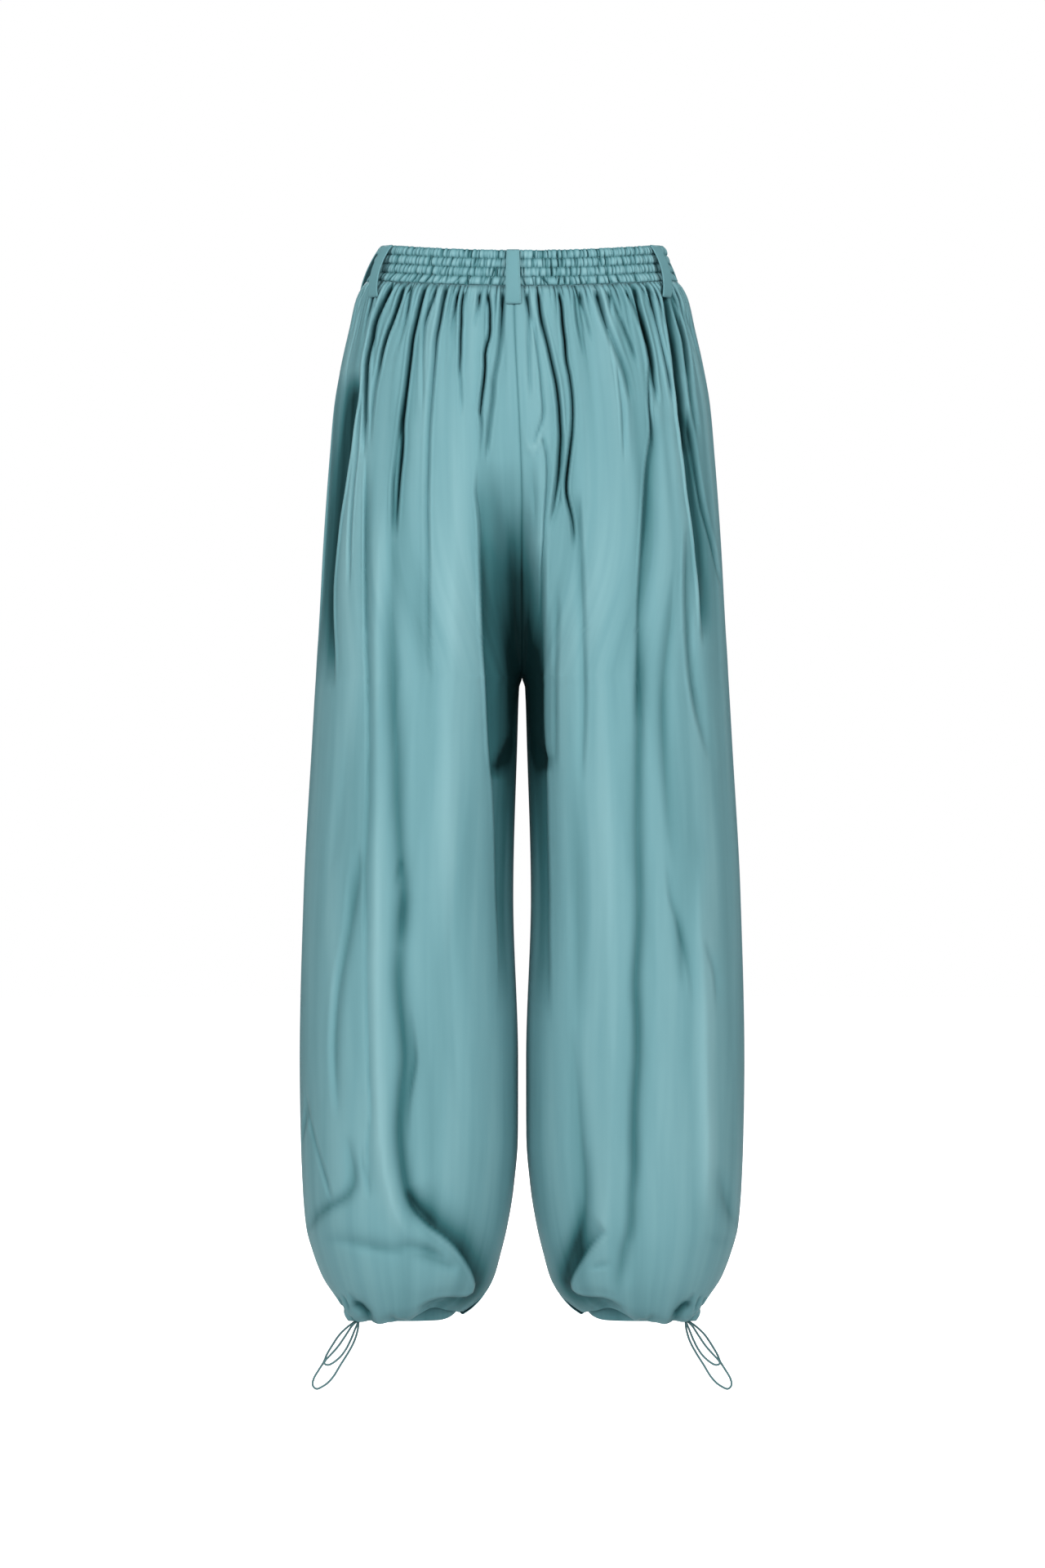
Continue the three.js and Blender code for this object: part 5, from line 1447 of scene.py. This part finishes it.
def cord_material():
    """Braided cord: two sets of turns that cross, as bands of the UV in metres."""
    material = bpy.data.materials.new("cord_braid")
    material.use_nodes = True
    tree = material.node_tree
    shader = tree.nodes["Principled BSDF"]
    place = tree.nodes.new("ShaderNodeUVMap")
    place.uv_map = "cloth"
    parts = tree.nodes.new("ShaderNodeSeparateXYZ")
    tree.links.new(place.outputs[0], parts.inputs[0])
    turn = math(tree, "MULTIPLY", parts.outputs[0], 4 / CORD_DIAMETER)
    run = math(tree, "MULTIPLY", parts.outputs[1], 2 * np.pi / BRAID_TURN)
    bands = [math(tree, "SINE", math(tree, kind, run, turn)) for kind in ("ADD", "SUBTRACT")]
    height = math(tree, "MAXIMUM", *bands)
    ramp = tree.nodes.new("ShaderNodeValToRGB")
    ramp.color_ramp.elements[0].color = (0.028, 0.085, 0.095, 1)
    ramp.color_ramp.elements[1].color = (0.105, 0.225, 0.24, 1)
    tree.links.new(math(tree, "MULTIPLY_ADD", height, 0.4, 0.5), ramp.inputs[0])
    tree.links.new(ramp.outputs[0], shader.inputs["Base Color"])
    relief = tree.nodes.new("ShaderNodeBump")
    relief.inputs["Strength"].default_value = 0.5
    relief.inputs["Distance"].default_value = 0.0001
    tree.links.new(height, relief.inputs["Height"])
    tree.links.new(relief.outputs[0], shader.inputs["Normal"])
    shader.inputs["Roughness"].default_value = 0.6
    return material


def thread_material():
    """Sewing thread: a fine twist from the object's coordinates."""
    material = bpy.data.materials.new("sewing_thread")
    material.use_nodes = True
    tree = material.node_tree
    shader = tree.nodes["Principled BSDF"]
    place = tree.nodes.new("ShaderNodeTexCoord")
    noise = tree.nodes.new("ShaderNodeTexNoise")
    noise.inputs["Scale"].default_value = 900
    tree.links.new(place.outputs["Object"], noise.inputs["Vector"])
    ramp = tree.nodes.new("ShaderNodeValToRGB")
    ramp.color_ramp.elements[0].color = (0.07, 0.19, 0.205, 1)
    ramp.color_ramp.elements[1].color = (0.16, 0.33, 0.35, 1)
    tree.links.new(noise.outputs[0], ramp.inputs[0])
    tree.links.new(ramp.outputs[0], shader.inputs["Base Color"])
    shader.inputs["Roughness"].default_value = 0.5
    return material


satin = cloth_material("satin", CLOTH_SHADE_TO_HIGHLIGHT, 0.40)
band_satin = cloth_material("satin_ruched", CLOTH_SHADE_TO_HIGHLIGHT, 0.46)
loop_satin = cloth_material("satin_pressed", CLOTH_SHADE_TO_HIGHLIGHT, 0.42)
thread = thread_material()
braid = cord_material()
for piece in [*panels.values(), *casings.values()]:
    piece.data.materials.append(satin)
waistband.data.materials.append(band_satin)
for piece in loops.values():
    piece.data.materials.append(loop_satin)
for piece in cords.values():
    piece.data.materials.append(braid)
for piece in (band_stitches, loop_stitches, seam_stitches):
    piece.data.materials.append(thread)
print("materials:", len(bpy.data.materials))

# %% [markdown]
# ## Floor and light
# A pale floor lies just under the cords. The light is a white studio: two soft lights high
# on either side of the camera and a weaker one between them, one on the far side and one
# over the waist. With one on each side, both slopes of a fold are lit and its valley stays
# dark. The surround and the floor are white to the camera, but give little light.

# %% Floor, lights and surround
FLOOR_HEIGHT = -1.0685
# Place, target, size and power in watts.
LIGHTS = {
    "left": ((-2.2, -3.6, 1.5), (0, 0, -0.4), 1.3, 109),
    "right": ((2.2, -3.6, 1.5), (0, 0, -0.4), 1.3, 98),
    "middle": ((0, -4.2, 1.9), (0, 0, -0.3), 1.0, 30),
    "far": ((0, 4.4, 1.6), (0, 0, -0.4), 2.4, 90),
    "above": ((0, 0.1, 2.6), (0, 0, 0), 1.2, 14),
}


def floor():
    """A round pale floor."""
    turn = np.linspace(0, 2 * np.pi, 96, endpoint=False)
    radii = np.array([0.01, 1.5, 3.0, 6.0, 12.0])
    grid = np.stack(np.broadcast_arrays(
        radii[:, None] * np.cos(turn), radii[:, None] * np.sin(turn), FLOOR_HEIGHT), axis=-1)
    piece = grid_piece("floor", grid, ring=True)
    material = bpy.data.materials.new("floor")
    material.use_nodes = True
    shader = material.node_tree.nodes["Principled BSDF"]
    shader.inputs["Base Color"].default_value = (0.93, 0.93, 0.93, 1)
    shader.inputs["Roughness"].default_value = 0.9
    shader.inputs["Emission Color"].default_value = (1, 1, 1, 1)
    seen = material.node_tree.nodes.new("ShaderNodeLightPath")
    glow = math(material.node_tree, "MULTIPLY", seen.outputs["Is Camera Ray"], 0.92)
    material.node_tree.links.new(glow, shader.inputs["Emission Strength"])
    piece.data.materials.append(material)
    return piece


def soft_light(name, place, target, size, power_watts):
    """A square area light that looks at a target."""
    data = bpy.data.lights.new(name, "AREA")
    data.shape = "RECTANGLE"
    data.size = data.size_y = size
    data.energy = power_watts
    light = bpy.data.objects.new(name, data)
    place, target = np.array(place, float), np.array(target, float)
    light.location = place
    forward = unit(target - place)
    light.rotation_euler = (np.arccos(-forward[2]), 0, np.arctan2(-forward[0], forward[1]))
    bpy.context.scene.collection.objects.link(light)
    return light


floor()
for name, row in LIGHTS.items():
    soft_light(name, *row)

world = bpy.data.worlds.new("studio")
bpy.context.scene.world = world
world.use_nodes = True
tree = world.node_tree
background = tree.nodes["Background"]
seen = tree.nodes.new("ShaderNodeLightPath")
strength = math(tree, "MULTIPLY_ADD", seen.outputs["Is Camera Ray"], 0.88, 0.12)
tree.links.new(strength, background.inputs["Strength"])
background.inputs["Color"].default_value = (1, 1, 1, 1)
bpy.context.scene.view_settings.view_transform = "Standard"
print("lights:", len(LIGHTS))
